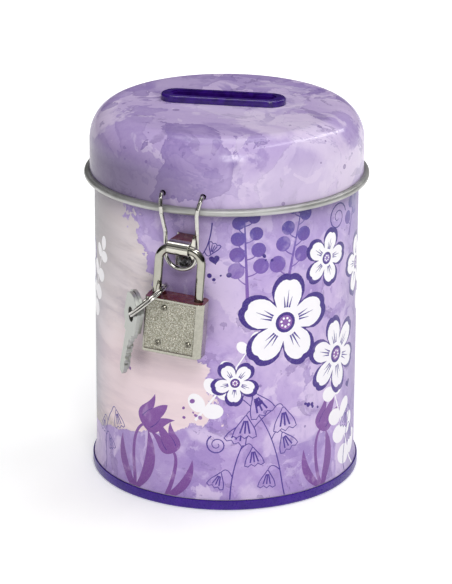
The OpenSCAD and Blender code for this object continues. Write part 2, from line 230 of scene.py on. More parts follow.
def step_v(nt, v, t, w, flip=False):
    """A threshold at t whose softness w is itself a texture: crisp in some places, faded out in others."""
    lo = math_(nt, "SUBTRACT", t, w)
    hi = math_(nt, "ADD", t, w)
    n = nt.nodes.new("ShaderNodeMapRange")
    n.interpolation_type = "SMOOTHSTEP"
    n.clamp = True
    nt.links.new(v, n.inputs["Value"])
    put(nt, n.inputs["From Min"], hi if flip else lo)
    put(nt, n.inputs["From Max"], lo if flip else hi)
    return n.outputs["Result"]


def wash(nt, q, scale, t, loc, detail=7.0, rough=0.55, dist=0.6, flip=False):
    """One layer of paint: its cover, from 0 to 1, and the dark line that dries along its crisp edges."""
    n = noise(nt, shift(nt, q, loc=loc), scale, detail, rough, dist)
    soft = noise(nt, shift(nt, q, loc=(loc[1] + 9, loc[2], loc[0])), scale * 0.8, 2.0, 0.5)
    w = step(nt, soft, 0.48, 0.66, 0.003, 0.075)
    cover = step_v(nt, n, t, w, flip)
    near = math_(nt, "ABSOLUTE", math_(nt, "SUBTRACT", n, t + (-0.006 if flip else 0.006)))
    line = math_(nt, "MULTIPLY", step(nt, near, 0.010, 0.0), step(nt, soft, 0.56, 0.47))
    return cover, line


def watercolour(nt, p, light, mid, deep, plum, seed=0.0, scale=1.0, brush=1.0, fine=8.0):
    """Layers of wash over each other, from large pale bodies to small deep blots."""
    q = shift(nt, p, loc=(seed, seed * 0.7, seed * 1.3), scale=(scale, scale, scale))
    body = noise(nt, q, 0.022, 4.0, 0.5, 0.4)
    col = mix(nt, step(nt, body, 0.38, 0.62), mix(nt, 0.5, light, mid), mid)
    c, l = wash(nt, q, 0.034, 0.50, (37, 11, 5))
    inner = step(nt, noise(nt, shift(nt, q, loc=(3, 70, 9)), 0.05, 3.0, 0.5), 0.35, 0.65, 0.45, 0.95)
    col = mix(nt, math_(nt, "MULTIPLY", c, inner), col, mix(nt, 0.55, mid, deep))
    col = mix(nt, math_(nt, "MULTIPLY", l, 0.40), col, deep)
    c, l = wash(nt, q, 0.042, 0.435, (-13, 47, 29), flip=True)
    col = mix(nt, math_(nt, "MULTIPLY", c, 0.80), col, light)
    col = mix(nt, math_(nt, "MULTIPLY", l, 0.22), col, deep)
    c, l = wash(nt, q, 0.060, 0.575, (71, -17, 3), fine, 0.6)
    col = mix(nt, math_(nt, "MULTIPLY", c, 0.62), col, deep)
    col = mix(nt, math_(nt, "MULTIPLY", l, 0.42), col, plum)
    c, l = wash(nt, q, 0.11, 0.60, (5, 31, -44), fine, 0.6)
    col = mix(nt, math_(nt, "MULTIPLY", c, 0.42), col, plum)
    col = mix(nt, math_(nt, "MULTIPLY", l, 0.45), col, plum)
    c, l = wash(nt, q, 0.13, 0.39, (55, 1, -4), fine, 0.6, flip=True)
    col = mix(nt, math_(nt, "MULTIPLY", c, 0.50), col, light)
    # brush marks, all leaning one way, and the paper's grain
    st = noise(nt, shift(nt, q, rot=(0.25, 0.45, 0.55), scale=(0.30, 1.9, 1.0)), 0.20, 5.0, 0.6, 0.3)
    col = mix(nt, step(nt, st, 0.36, 0.50, 0.20 * brush, 0.0), col, light)
    col = mix(nt, step(nt, st, 0.50, 0.66, 0.0, 0.24 * brush), col, deep)
    gr = noise(nt, q, 1.3, 4.0, 0.7)
    col = mix(nt, step(nt, gr, 0.35, 0.65, 0.0, 0.10), col, light)
    return col


def speckle(nt, p, col, dot, scale, size, amount, seed):
    """Scattered round splashes of paint."""
    v = voronoi(nt, shift(nt, p, loc=(seed, seed, -seed)), scale)
    pick = xyz(nt, v.outputs["Color"])[0]
    rad = math_(nt, "MULTIPLY", xyz(nt, v.outputs["Color"])[1], size)
    d = math_(nt, "SUBTRACT", v.outputs["Distance"], rad)
    inside = step(nt, d, 0.012, -0.012)
    ring = math_(nt, "MULTIPLY", inside, step(nt, d, -0.035, -0.010))
    on = math_(nt, "GREATER_THAN", pick, 1.0 - amount)
    col = mix(nt, math_(nt, "MULTIPLY", math_(nt, "MULTIPLY", inside, on), 0.50), col, dot)
    return mix(nt, math_(nt, "MULTIPLY", math_(nt, "MULTIPLY", ring, on), 0.45), col, dot)


def varnish(nt, bsdf, p, rough=0.40, coat=0.14, coat_rough=0.18):
    bsdf.inputs["Coat Weight"].default_value = coat
    bsdf.inputs["Coat Roughness"].default_value = coat_rough
    bsdf.inputs["Coat IOR"].default_value = 1.38
    bsdf.inputs["IOR"].default_value = 1.34
    r = noise(nt, p, 0.8, 4.0, 0.6)
    nt.links.new(step(nt, r, 0.3, 0.7, rough - 0.05, rough + 0.07), bsdf.inputs["Roughness"])
    h = noise(nt, p, 0.12, 2.0, 0.5)
    bump(nt, bsdf, h, 0.10, 0.0004)


def can_shade(nt, p, col):
    """Painted shade: a little darker just under the hem, where its shadow falls, and darker close under other parts
    such as the padlock, from an occlusion node.
    """
    z = xyz(nt, p)[2]
    under = math_(nt, "MULTIPLY", step(nt, z, 88.0, 99.5), 0.42)
    col = mix(nt, under, col, lin("#8377A0"), "MULTIPLY")
    return mix(nt, step(nt, crevice(nt, 7.0, 4), 0.40, 0.98, 0.62, 0.0), col, lin("#6A6080"), "MULTIPLY")


def mat_can_print():
    m, nt, bsdf = new_mat("can_print_wash")
    p = coords(nt)
    col = watercolour(nt, p, LIGHT, MID, DEEP, PLUM, 3.0, 1.15)
    x, y, z = xyz(nt, p)[:3]
    col = mix(nt, step(nt, z, 62.0, 92.0, 0.0, 0.34), col, lin("#CDBCE8"))
    col = speckle(nt, p, col, lin("#5E479A"), 0.17, 0.11, 0.30, 5.0)
    # the pale, cloudy panel on the left of the front
    ang = math_(nt, "ARCTAN2", x, math_(nt, "MULTIPLY", y, -1.0))
    deg = math_(nt, "MULTIPLY", ang, 57.2958)
    ramp = nt.nodes.new("ShaderNodeValToRGB")
    ramp.color_ramp.interpolation = "B_SPLINE"
    stops = [(0.0, -108.0), (0.13, -84.0), (0.20, -40.0), (0.27, 12.0), (0.42, 20.0), (0.55, 6.0), (0.72, -14.0), (0.85, -22.0), (1.0, -26.0)]
    els = ramp.color_ramp.elements
    while len(els) < len(stops):
        els.new(0.5)
    for e, (pos, d) in zip(els, stops):
        g = (d + 120.0) / 160.0
        e.position = pos
        e.color = (g, g, g, 1.0)
    nt.links.new(math_(nt, "DIVIDE", z, 100.0), ramp.inputs["Fac"])
    edge = math_(nt, "SUBTRACT", math_(nt, "MULTIPLY", ramp.outputs["Color"], 160.0), 120.0)
    wob = noise(nt, shift(nt, p, loc=(9, 4, 1)), 0.085, 7.0, 0.62, 0.5)
    edge = math_(nt, "ADD", edge, math_(nt, "MULTIPLY", math_(nt, "SUBTRACT", wob, 0.5), 58.0))
    d = math_(nt, "SUBTRACT", edge, deg)
    right = step(nt, d, -0.30, 0.30)
    left = step(nt, math_(nt, "ADD", deg, math_(nt, "MULTIPLY", wob, 30.0)), -112.0, -110.5)
    pale = math_(nt, "MULTIPLY", right, left)
    c1 = noise(nt, shift(nt, p, loc=(4, 50, 8), rot=(0.1, 0.35, 0.0), scale=(0.5, 0.5, 1.7)), 0.035, 6.0, 0.6, 0.8)
    c2 = noise(nt, shift(nt, p, loc=(40, 5, 80), rot=(0.0, 0.3, 0.0), scale=(0.5, 0.5, 2.4)), 0.06, 7.0, 0.6, 0.3)
    cloud = mix(nt, step(nt, c1, 0.36, 0.64), lin("#C6BAC4"), lin("#EFE2E2"))
    cloud = mix(nt, math_(nt, "MULTIPLY", step(nt, c2, 0.46, 0.62), 0.7), cloud, lin("#F6EBEE"))
    cloud = mix(nt, math_(nt, "MULTIPLY", step(nt, c2, 0.46, 0.36), 0.6), cloud, lin("#B3A6B6"))
    # grey-blue in the upper left, blush lower down, sand at the foot
    up_left = math_(nt, "MULTIPLY", step(nt, deg, -8.0, -62.0), step(nt, z, 45.0, 88.0))
    cloud = mix(nt, math_(nt, "MULTIPLY", up_left, 0.85), cloud, lin("#918C90"))
    blush = math_(nt, "MULTIPLY", step(nt, z, 66.0, 42.0), step(nt, deg, -75.0, -30.0, 0.15, 0.72))
    cloud = mix(nt, blush, cloud, lin("#F2DADF"))
    # painted shade: the panel darker towards its left, where the can turns from the light
    painted_shade_panel_left = math_(nt, "MULTIPLY", math_(nt, "MULTIPLY", step(nt, deg, -38.0, -66.0), step(nt, z, 84.0, 52.0)), 0.50)
    cloud = mix(nt, painted_shade_panel_left, cloud, lin("#8F93A8"))
    # painted shade at the can's left edge
    painted_shade_left_edge = math_(nt, "MULTIPLY", step(nt, math_(nt, "ADD", deg, math_(nt, "MULTIPLY", c1, 10.0)), -46.0, -70.0), 0.62)
    cloud = mix(nt, painted_shade_left_edge, cloud, lin("#7B8188"))
    low = math_(nt, "MULTIPLY", step(nt, math_(nt, "ADD", z, math_(nt, "MULTIPLY", c1, 18.0)), 35.0, 24.0), 0.85)
    grit = noise(nt, p, 0.9, 6.0, 0.8)
    sand = mix(nt, step(nt, grit, 0.40, 0.60), lin("#85756F"), lin("#D6C5BB"))
    cloud = mix(nt, low, cloud, sand)
    # painted shade at the can's right edge, in the print's violet
    painted_shade_right_edge = math_(nt, "MULTIPLY", step(nt, math_(nt, "ADD", deg, math_(nt, "MULTIPLY", wob, 24.0)), 84.0, 112.0), step(nt, deg, 150.0, 125.0))
    col = mix(nt, math_(nt, "MULTIPLY", painted_shade_right_edge, 0.55), col, lin("#6B579F"))
    col = mix(nt, pale, col, cloud)
    # the wash pools against the panel's edge
    rim = math_(nt, "MULTIPLY", math_(nt, "SUBTRACT", 1.0, step(nt, math_(nt, "ABSOLUTE", math_(nt, "ADD", d, 0.9)), 0.0, 1.5)), 0.45)
    col = mix(nt, rim, col, DEEP)
    # painted shade under the hem and near the padlock
    col = can_shade(nt, p, col)
    nt.links.new(col, bsdf.inputs["Base Color"])
    varnish(nt, bsdf, p)
    return m


def ink(name, stops, mottling=0.25, rough=0.34):
    """A printed colour that grades up the can through stops of (height in mm, colour), with a little wash in it."""
    m, nt, bsdf = new_mat(name)
    p = coords(nt)
    z = xyz(nt, p)[2]
    ramp = nt.nodes.new("ShaderNodeValToRGB")
    els = ramp.color_ramp.elements
    while len(els) < len(stops):
        els.new(0.5)
    for e, (h, c) in zip(els, stops):
        e.position = h / 100.0
        e.color = lin(c)
    nt.links.new(math_(nt, "DIVIDE", z, 100.0), ramp.inputs["Fac"])
    col = ramp.outputs["Color"]
    n = noise(nt, p, 0.16, 5.0, 0.6, 0.5)
    col = mix(nt, step(nt, n, 0.42, 0.62, 0.0, mottling), col, scaled(lin(stops[0][1]), 0.72))
    col = mix(nt, step(nt, n, 0.46, 0.34, 0.0, mottling), col, (0.75, 0.60, 0.85, 1))
    g = noise(nt, p, 2.6, 2.0, 0.5)
    col = mix(nt, step(nt, g, 0.35, 0.75, 0.0, 0.04), col, (1, 1, 1, 1))
    # painted shade under the hem and near the padlock
    col = can_shade(nt, p, col)
    nt.links.new(col, bsdf.inputs["Base Color"])
    varnish(nt, bsdf, p, rough)
    return m


def patch(nt, p, col, to, at, radius, spread, seed, amount, edge, rim=0.45):
    """One large patch of paint round a point, its outline wandering in and out, dried darker at the edge."""
    rel = shift(nt, p, loc=(-at[0], -at[1], -at[2]))
    d = nt.nodes.new("ShaderNodeVectorMath")
    d.operation = "LENGTH"
    nt.links.new(rel, d.inputs[0])
    w = noise(nt, shift(nt, p, loc=(seed, seed * 2.0, -seed)), 0.055, 6.0, 0.58, 0.9)
    f = math_(nt, "ADD", d.outputs["Value"], math_(nt, "MULTIPLY", math_(nt, "SUBTRACT", w, 0.5), spread))
    inside = step(nt, f, radius + 0.25, radius - 0.25)
    deeper = step(nt, f, radius - 9.0, radius, 0.55, 1.0)
    col = mix(nt, math_(nt, "MULTIPLY", math_(nt, "MULTIPLY", inside, deeper), amount), col, to)
    near = step(nt, math_(nt, "ABSOLUTE", math_(nt, "SUBTRACT", f, radius)), 0.9, 0.0)
    return mix(nt, math_(nt, "MULTIPLY", math_(nt, "MULTIPLY", near, inside), rim), col, edge)


def mat_lid_print():
    m, nt, bsdf = new_mat("lid_print_wash")
    p = coords(nt)
    col = watercolour(nt, p, lin("#E0D0EC"), lin("#BAA4D6"), lin("#937CBC"), lin("#6C5796"), 14.0, 0.72, 0.50, 5.0)
    x, y, z = xyz(nt, p)[:3]
    ink_pale, ink_deep, ink_edge = lin("#DDD0EA"), lin("#8C75B4"), lin("#6A5592")
    col = patch(nt, p, col, ink_deep, (-27, 14, 120), 17.0, 62.0, 3.0, 0.62, ink_edge)
    col = patch(nt, p, col, ink_pale, (12, 2, 120), 15.0, 60.0, 21.0, 0.42, ink_deep, 0.5)
    col = patch(nt, p, col, ink_deep, (-3, -36, 116), 12.0, 58.0, 33.0, 0.74, ink_edge, 0.5)
    col = patch(nt, p, col, ink_pale, (33, -26, 108), 16.0, 54.0, 8.0, 0.46, ink_deep, 0.55)
    col = patch(nt, p, col, ink_deep, (36, 22, 114), 14.0, 54.0, 15.0, 0.60, ink_edge)
    col = patch(nt, p, col, ink_deep, (4, 38, 112), 15.0, 54.0, 44.0, 0.60, ink_edge)
    # painted shade: the left of the skirt darker, away from the light
    side = math_(nt, "ADD", math_(nt, "MULTIPLY", x, -0.86), math_(nt, "MULTIPLY", y, -0.50))
    deep = math_(nt, "MULTIPLY", step(nt, side, 4.0, 42.0), step(nt, z, 120.5, 108.0))
    col = mix(nt, math_(nt, "MULTIPLY", deep, 0.90), col, lin("#58486F"))
    # the right of the skirt paler
    other = math_(nt, "ADD", math_(nt, "MULTIPLY", x, 0.86), math_(nt, "MULTIPLY", y, -0.50))
    pale = math_(nt, "MULTIPLY", step(nt, other, 22.0, 42.0), step(nt, z, 119.0, 108.0))
    col = mix(nt, math_(nt, "MULTIPLY", pale, 0.34), col, lin("#D8CBDD"))
    col = speckle(nt, p, col, lin("#68508F"), 0.105, 0.13, 0.42, 2.0)
    col = speckle(nt, p, col, lin("#68508F"), 0.24, 0.15, 0.22, 12.0)
    nt.links.new(col, bsdf.inputs["Base Color"])
    varnish(nt, bsdf, p, 0.50, 0.50, 0.14)
    bsdf.inputs["Coat IOR"].default_value = 1.5
    return m


def metal(name, col, rough, var=0.05, grain=6.0, bumpy=0.02, bump_scale=0.9, dark=0.85, up_reflection=None, reflection_bands=(), shade=lin("#1E1C1A"), reflection_from_y=None, edge=0.0):
    """Plated or polished metal with faint cloudiness, fine scratches and uneven gloss.
    Dark zones by the direction the surface faces are painted reflections, given as (what, from, to, soft, strength)."""
    m, nt, bsdf = new_mat(name)
    p = coords(nt)
    n = noise(nt, p, bump_scale, 4.0, 0.55, 0.3)
    s = noise(nt, shift(nt, p, rot=(0.4, 0.2, 0.9), scale=(0.4, 6.0, 1.0)), grain, 3.0, 0.6)
    c = mix(nt, step(nt, n, 0.35, 0.70), scaled(col, dark), col)
    c = mix(nt, math_(nt, "MULTIPLY", step(nt, s, 0.58, 0.78), 0.12), c, scaled(col, dark * 0.9))
    metallic = None
    tc = nt.nodes.new("ShaderNodeTexCoord")
    nx, ny, nz = xyz(nt, tc.outputs["Normal"])[:3]
    # painted reflections: dark stripes by the direction the surface faces
    if reflection_bands:
        phi = math_(nt, "MULTIPLY", math_(nt, "ARCTAN2", nx, math_(nt, "MULTIPLY", ny, -1.0)), 57.2958)
        flat = step(nt, math_(nt, "ABSOLUTE", nz), 0.55, 0.30)
        wob = math_(nt, "SUBTRACT", noise(nt, p, 0.22, 2.0, 0.5), 0.5)
        for what, a, b, soft, k in reflection_bands:
            v = nz if what == "z" else phi
            v = math_(nt, "ADD", v, math_(nt, "MULTIPLY", wob, soft * 2.0))
            on = math_(nt, "MULTIPLY", step(nt, v, a - soft, a + soft), step(nt, v, b + soft, b - soft))
            if what == "phi":
                on = math_(nt, "MULTIPLY", on, flat)
            c = mix(nt, math_(nt, "MULTIPLY", on, k), c, shade)
    if up_reflection:
        # painted reflection: faces that look straight up take the dark red of a reflection, mottled, and are less
        # metallic there
        up = step(nt, nz, 0.965, 0.99)
        reflection_mottle = step(nt, noise(nt, p, 0.40, 4.0, 0.6, 0.5), 0.30, 0.62, 0.80, 1.0)
        on = math_(nt, "MULTIPLY", up, reflection_mottle)
        if reflection_from_y is not None:
            on = math_(nt, "MULTIPLY", on, step(nt, xyz(nt, p)[1], reflection_from_y - 0.3, reflection_from_y + 0.3))
        c = mix(nt, on, c, up_reflection)
        metallic = math_(nt, "SUBTRACT", 1.0, math_(nt, "MULTIPLY", on, 0.90))
    # painted shade: darker in corners and close under other parts, from an occlusion node
    c = mix(nt, step(nt, crevice(nt, 0.8), 0.30, 0.92), scaled(shade, 1.6), c)
    nt.links.new(c, bsdf.inputs["Base Color"])
    put(nt, bsdf.inputs["Metallic"], 1.0 if metallic is None else metallic)
    nt.links.new(step(nt, n, 0.3, 0.7, max(0.02, rough - var), rough + var), bsdf.inputs["Roughness"])
    bump(nt, bsdf, s, bumpy, 0.0001)
    if edge:
        # edges rounded by a fraction of a millimetre, so that they catch the light
        r = nt.nodes.new("ShaderNodeBevel")
        r.samples = 6
        r.inputs["Radius"].default_value = edge * MM
        b = bsdf.inputs["Normal"].links[0].from_node
        nt.links.new(r.outputs["Normal"], b.inputs["Normal"])
    return m


def mat_hem():
    """The rolled tin edge: satin, with the rolling marks running round it."""
    m, nt, bsdf = new_mat("hem_bare_tin")
    p = coords(nt)
    n = noise(nt, p, 0.10, 3.0, 0.5)
    fine = noise(nt, shift(nt, p, scale=(0.4, 0.4, 5.0)), 1.6, 3.0, 0.5)
    c = mix(nt, step(nt, n, 0.35, 0.65), lin("#A9A9A6"), lin("#BFBFBD"))
    nt.links.new(c, bsdf.inputs["Base Color"])
    bsdf.inputs["Metallic"].default_value = 0.75
    nt.links.new(step(nt, fine, 0.3, 0.7, 0.42, 0.52), bsdf.inputs["Roughness"])
    bump(nt, bsdf, fine, 0.03, 0.0001)
    return m


def mat_pebble():
    m, nt, bsdf = new_mat("lock_plate_pebbled")
    p = coords(nt)
    q = shift(nt, p, rot=(0.3, 0.1, 0.2))
    warp = noise(nt, q, 1.1, 3.0, 0.6, 0.8)
    v = voronoi(nt, q, 2.0)
    n = noise(nt, p, 3.0, 4.0, 0.65, 0.9)
    h = math_(nt, "ADD", math_(nt, "MULTIPLY", v.outputs["Distance"], -0.8), math_(nt, "MULTIPLY", n, 1.2))
    c = mix(nt, step(nt, n, 0.38, 0.60), lin("#87846F"), lin("#DEDCD0"))
    c = mix(nt, step(nt, v.outputs["Distance"], 0.35, 0.75, 0.0, 0.55), c, lin("#77745F"))
    c = mix(nt, step(nt, warp, 0.42, 0.62, 0.0, 0.30), c, lin("#B9B6A6"))
    # painted shade: darker in the recesses and close under other parts, from an occlusion node
    c = mix(nt, step(nt, crevice(nt, 0.6), 0.35, 0.95), lin("#2E2C27"), c)
    nt.links.new(c, bsdf.inputs["Base Color"])
    bsdf.inputs["Metallic"].default_value = 0.95
    nt.links.new(step(nt, n, 0.3, 0.7, 0.38, 0.24), bsdf.inputs["Roughness"])
    bump(nt, bsdf, h, 0.9, 0.00026)
    return m


def mat_plastic():
    m, nt, bsdf = new_mat("purple_plastic_gloss")
    p = coords(nt)
    n = noise(nt, p, 0.35, 4.0, 0.55, 0.4)
    c = mix(nt, step(nt, n, 0.35, 0.68), lin("#2A0A62"), lin("#3C1484"))
    nt.links.new(c, bsdf.inputs["Base Color"])
    nt.links.new(step(nt, noise(nt, p, 2.0, 4.0, 0.6), 0.3, 0.7, 0.14, 0.26), bsdf.inputs["Roughness"])
    bsdf.inputs["IOR"].default_value = 1.49
    bsdf.inputs["Coat Weight"].default_value = 0.3
    bsdf.inputs["Coat Roughness"].default_value = 0.08
    bump(nt, bsdf, noise(nt, p, 0.9, 3.0, 0.5), 0.12, 0.0002)
    return m


def mat_lacquer():
    m, nt, bsdf = new_mat("base_lacquer_gloss")
    p = coords(nt)
    n = noise(nt, p, 0.25, 5.0, 0.6, 0.4)
    c = mix(nt, step(nt, n, 0.35, 0.68), lin("#351080"), lin("#421892"))
    w = noise(nt, p, 1.6, 4.0, 0.7)
    z = xyz(nt, p)[2]
    worn = math_(nt, "MULTIPLY", math_(nt, "MULTIPLY", step(nt, z, 0.5, 0.05), step(nt, w, 0.56, 0.66)), 0.7)
    c = mix(nt, worn, c, lin("#A7A3B4"))
    nt.links.new(c, bsdf.inputs["Base Color"])
    nt.links.new(step(nt, w, 0.3, 0.7, 0.24, 0.38), bsdf.inputs["Roughness"])
    bsdf.inputs["Coat Weight"].default_value = 0.1
    bsdf.inputs["Coat Roughness"].default_value = 0.15
    bsdf.inputs["IOR"].default_value = 1.38
    bump(nt, bsdf, n, 0.15, 0.0003)
    return m


def mat_tin_inside():
    m, nt, bsdf = new_mat("tinplate_inside")
    p = coords(nt)
    n = noise(nt, p, 0.10, 6.0, 0.6, 0.6)
    s = noise(nt, shift(nt, p, scale=(2.0, 2.0, 0.15)), 1.2, 4.0, 0.6)
    v = voronoi(nt, p, 0.22)
    c = mix(nt, step(nt, n, 0.35, 0.68), lin("#B9B7AE"), lin("#D9D8D2"))
    c = mix(nt, math_(nt, "MULTIPLY", v.outputs["Distance"], 0.18), c, lin("#9F9D95"))
    nt.links.new(c, bsdf.inputs["Base Color"])
    bsdf.inputs["Metallic"].default_value = 1.0
    nt.links.new(step(nt, s, 0.3, 0.7, 0.26, 0.42), bsdf.inputs["Roughness"])
    bump(nt, bsdf, s, 0.06, 0.0002)
    return m


M_CAN = mat_can_print()
M_INSIDE = mat_tin_inside()
M_PURPLE = ink("ink_purple", [(0, "#7C4899"), (34, "#8652A2"), (58, "#9863B4"), (76, "#7F5DB2"), (95, "#5B4CA4")], 0.22)
M_WHITE = ink("ink_white", [(0, "#F6F2F8"), (95, "#FCFAFD")], 0.03)
M_DARK = ink("ink_violet", [(0, "#45258A"), (95, "#3A2280")], 0.12)
M_LINE = ink("ink_line", [(0, "#4C2E96"), (95, "#3F2A8C")], 0.08)
M_LID = mat_lid_print()
M_HEM = mat_hem()
M_LACQUER = mat_lacquer()
M_PLASTIC = mat_plastic()
# painted reflections: the dark reds that faces looking straight up are given in metal()
TOP_REFLECTION_RED = lin("#5C1213")
CASE_TOP_REFLECTION_RED = lin("#6B1F28")
# painted reflections: dark stripes for polished rods, by facing direction
ROD_REFLECTION_BANDS = (("z", 0.36, 0.50, 0.05, 0.75), ("z", -1.2, -0.62, 0.12, 0.80), ("phi", 58.0, 76.0, 4.0, 0.85), ("phi", -181.0, -44.0, 7.0, 0.70))
M_PLATED = metal("plated_steel_bright", lin("#BFBDB3"), 0.17, 0.05, 5.0, 0.02, up_reflection=TOP_REFLECTION_RED)
M_STAPLE = metal("staple_steel_bright", lin("#CFCDC2"), 0.13, 0.04, 5.0, 0.01, 0.5, 0.92, up_reflection=TOP_REFLECTION_RED, reflection_bands=(("z", 0.38, 0.55, 0.05, 0.85), ("z", -1.2, -0.60, 0.12, 0.75)), reflection_from_y=-49.4, edge=0.12)
M_RIVET = metal("rivet_steel_dulled", lin("#77767A"), 0.26, 0.05, 5.0, 0.02, reflection_bands=(("z", 0.45, 1.2, 0.25, 0.55),))
M_WIRE = metal("wire_chrome_bright", lin("#C6C4BE"), 0.13, 0.04, 5.0, 0.02, reflection_bands=(("z", -1.2, -0.55, 0.15, 0.60),))
M_SHACKLE = metal("lock_chrome_polished", lin("#ADABA0"), 0.10, 0.03, 4.0, 0.01, 0.5, 0.92, reflection_bands=ROD_REFLECTION_BANDS)
M_STUD = metal("lock_stud_dulled", lin("#8D8A7E"), 0.24, 0.05, 4.0, 0.02)
M_CASE = metal("lock_case_plated", lin("#B0AEA2"), 0.19, 0.05, 4.0, 0.02, up_reflection=CASE_TOP_REFLECTION_RED, reflection_bands=(("phi", 96.0, 181.0, 8.0, 0.45),), shade=lin("#4A3A34"), edge=0.35)
M_PEBBLE = mat_pebble()
M_SPRING = metal("spring_steel_drawn", lin("#A5A5A5"), 0.28, 0.06, 8.0, 0.05)
M_BRASS = metal("lock_brass_machined", lin("#C9A765"), 0.26, 0.06, 6.0, 0.06)
M_KEY = metal("key_steel_stamped", lin("#B2B4AF"), 0.36, 0.05, 3.0, 0.03, edge=0.18)


# ------------------------------------------------------------------ the printed can
CAN_R = 42.5
COLS = 144
SEAM = math.radians(150.0)          # the side seam, where the print's two ends meet
V0, V1 = 3.4, 99.4
FLARE = [(3.4, 43.30), (3.85, 43.18), (4.3, 43.05), (4.85, 42.89), (5.4, 42.75), (6.0, 42.66), (6.6, 42.57), (7.2, 42.53), (7.8, 42.5)]


def wall_r(z, t_from_seam):
    """The wall's outer radius at a height, flared at the foot."""
    r = CAN_R
    if z < 7.8:
        for (z0, r0), (z1, r1) in zip(FLARE, FLARE[1:]):
            if z <= z1:
                r = r0 + (r1 - r0) * (z - z0) / (z1 - z0)
                break
    return r


def circle_pts(cx, cy, r, n=18, sx=1.0, sy=1.0, rot=0.0):
    out = []
    for i in range(n):
        a = 2 * math.pi * i / n
        x, y = r * sx * math.cos(a), r * sy * math.sin(a)
        out.append((cx + x * math.cos(rot) - y * math.sin(rot), cy + x * math.sin(rot) + y * math.cos(rot)))
    return out


def stroke(pts, w0, w1=None, wm=None):
    """A drawn line through pts whose width goes from w0 by wm to w1."""
    w1 = w0 if w1 is None else w1
    wm = (w0 + w1) / 2 if wm is None else wm
    n = len(pts)
    left, right = [], []
    for i, (x, y) in enumerate(pts):
        a = pts[max(0, i - 1)]
        b = pts[min(n - 1, i + 1)]
        dx, dy = b[0] - a[0], b[1] - a[1]
        l = math.hypot(dx, dy) or 1.0
        t = i / (n - 1)
        w = (w0 * (1 - t) * (1 - t) + 2 * (2 * wm - (w0 + w1) / 2) * t * (1 - t) + w1 * t * t) / 2
        w = max(w, 0.04)
        left.append((x - dy / l * w, y + dx / l * w))
        right.append((x + dy / l * w, y - dx / l * w))
    return left + right[::-1]


def bez(p0, p1, p2, n=14):
    return [((1 - t) ** 2 * p0[0] + 2 * t * (1 - t) * p1[0] + t * t * p2[0],
             (1 - t) ** 2 * p0[1] + 2 * t * (1 - t) * p1[1] + t * t * p2[1]) for t in [i / n for i in range(n + 1)]]


def place(poly, u, v, rot=0.0, s=1.0, flip=False):
    c, sn = math.cos(math.radians(rot)), math.sin(math.radians(rot))
    k = -1 if flip else 1
    return [(u + s * (k * x * c - y * sn), v + s * (k * x * sn + y * c)) for x, y in poly]


SHAPES = []          # (priority, material index, polygon)
BG, INSIDE, PURPLE, WHITE, DARK, LINE = range(6)


def add(pri, mat, poly):
    SHAPES.append((pri, mat, poly))


def blossom(u, v, s, rot, petals=5, pri=60, outline=1.1, veins=True):
    """An open flower: white petals inside a thick violet outline."""
    def shape(grow, k=0.0):
        pts = []
        n = petals * 14
        for i in range(n):
            a = 2 * math.pi * i / n
            f = abs(math.cos(petals * a / 2.0)) ** 0.62
            notch = 0.10 * max(0.0, math.cos(petals * a)) ** 12
            r = s * (0.42 + 0.58 * f - notch * 0.55) + grow
            pts.append((u + r * math.cos(a + math.radians(rot)), v + r * math.sin(a + math.radians(rot))))
        return pts
    add(pri, DARK, shape(outline))
    add(pri + 1, WHITE, shape(0.0))
    if veins:
        for i in range(petals):
            a = 2 * math.pi * i / petals + math.radians(rot)
            for da, l0, l1 in ((0.0, 0.34, 0.74), (0.17, 0.34, 0.60), (-0.17, 0.34, 0.60)):
                p = [(u + s * q * math.cos(a + da * (0.7 + 0.5 * q)), v + s * q * math.sin(a + da * (0.7 + 0.5 * q)))
                     for q in (l0, (l0 + l1) / 2, l1)]
                add(pri + 2, LINE, stroke(p, 0.34 * s / 10 + 0.14, 0.08))
    add(pri + 3, DARK, circle_pts(u, v, s * 0.235, 22))
    add(pri + 4, PURPLE, circle_pts(u, v, s * 0.165, 20))
    for i in range(7):
        a = 2 * math.pi * i / 7 + math.radians(rot)
        add(pri + 5, WHITE, circle_pts(u + s * 0.10 * math.cos(a), v + s * 0.10 * math.sin(a), s * 0.022 + 0.10, 8))


def berry_branch(u, v, l, rot, bend=0.25, mat=PURPLE, pri=10, n=6, size=1.9, width=0.8):
    """A curved stem with round berries on short stalks."""
    spine = bez((0, 0), (bend * l * 0.5, l * 0.5), (bend * l, l), 20)
    add(pri, mat, place(stroke(spine, width, 0.35), u, v, rot))
    for i in range(n):
        t = 0.22 + 0.70 * i / (n - 1)
        x, y = spine[int(t * 20)]
        side = 1 if i % 2 else -1
        a = math.radians(90 - side * (48 - 12 * t))
        k = (0.24 - 0.10 * t) * l
        bx, by = x + k * math.cos(a), y + k * math.sin(a)
        add(pri, mat, place(stroke(bez((x, y), (x + k * 0.6 * math.cos(a) + side * 0.05 * l, y + k * 0.3 * math.sin(a)), (bx, by), 8), 0.42, 0.32), u, v, rot))
        add(pri + 1, mat, place(circle_pts(bx, by, size * (1.1 - 0.35 * t), 16), u, v, rot))
    x, y = spine[-1]
    add(pri + 1, mat, place(circle_pts(x, y + 0.5, size * 0.8, 16), u, v, rot))


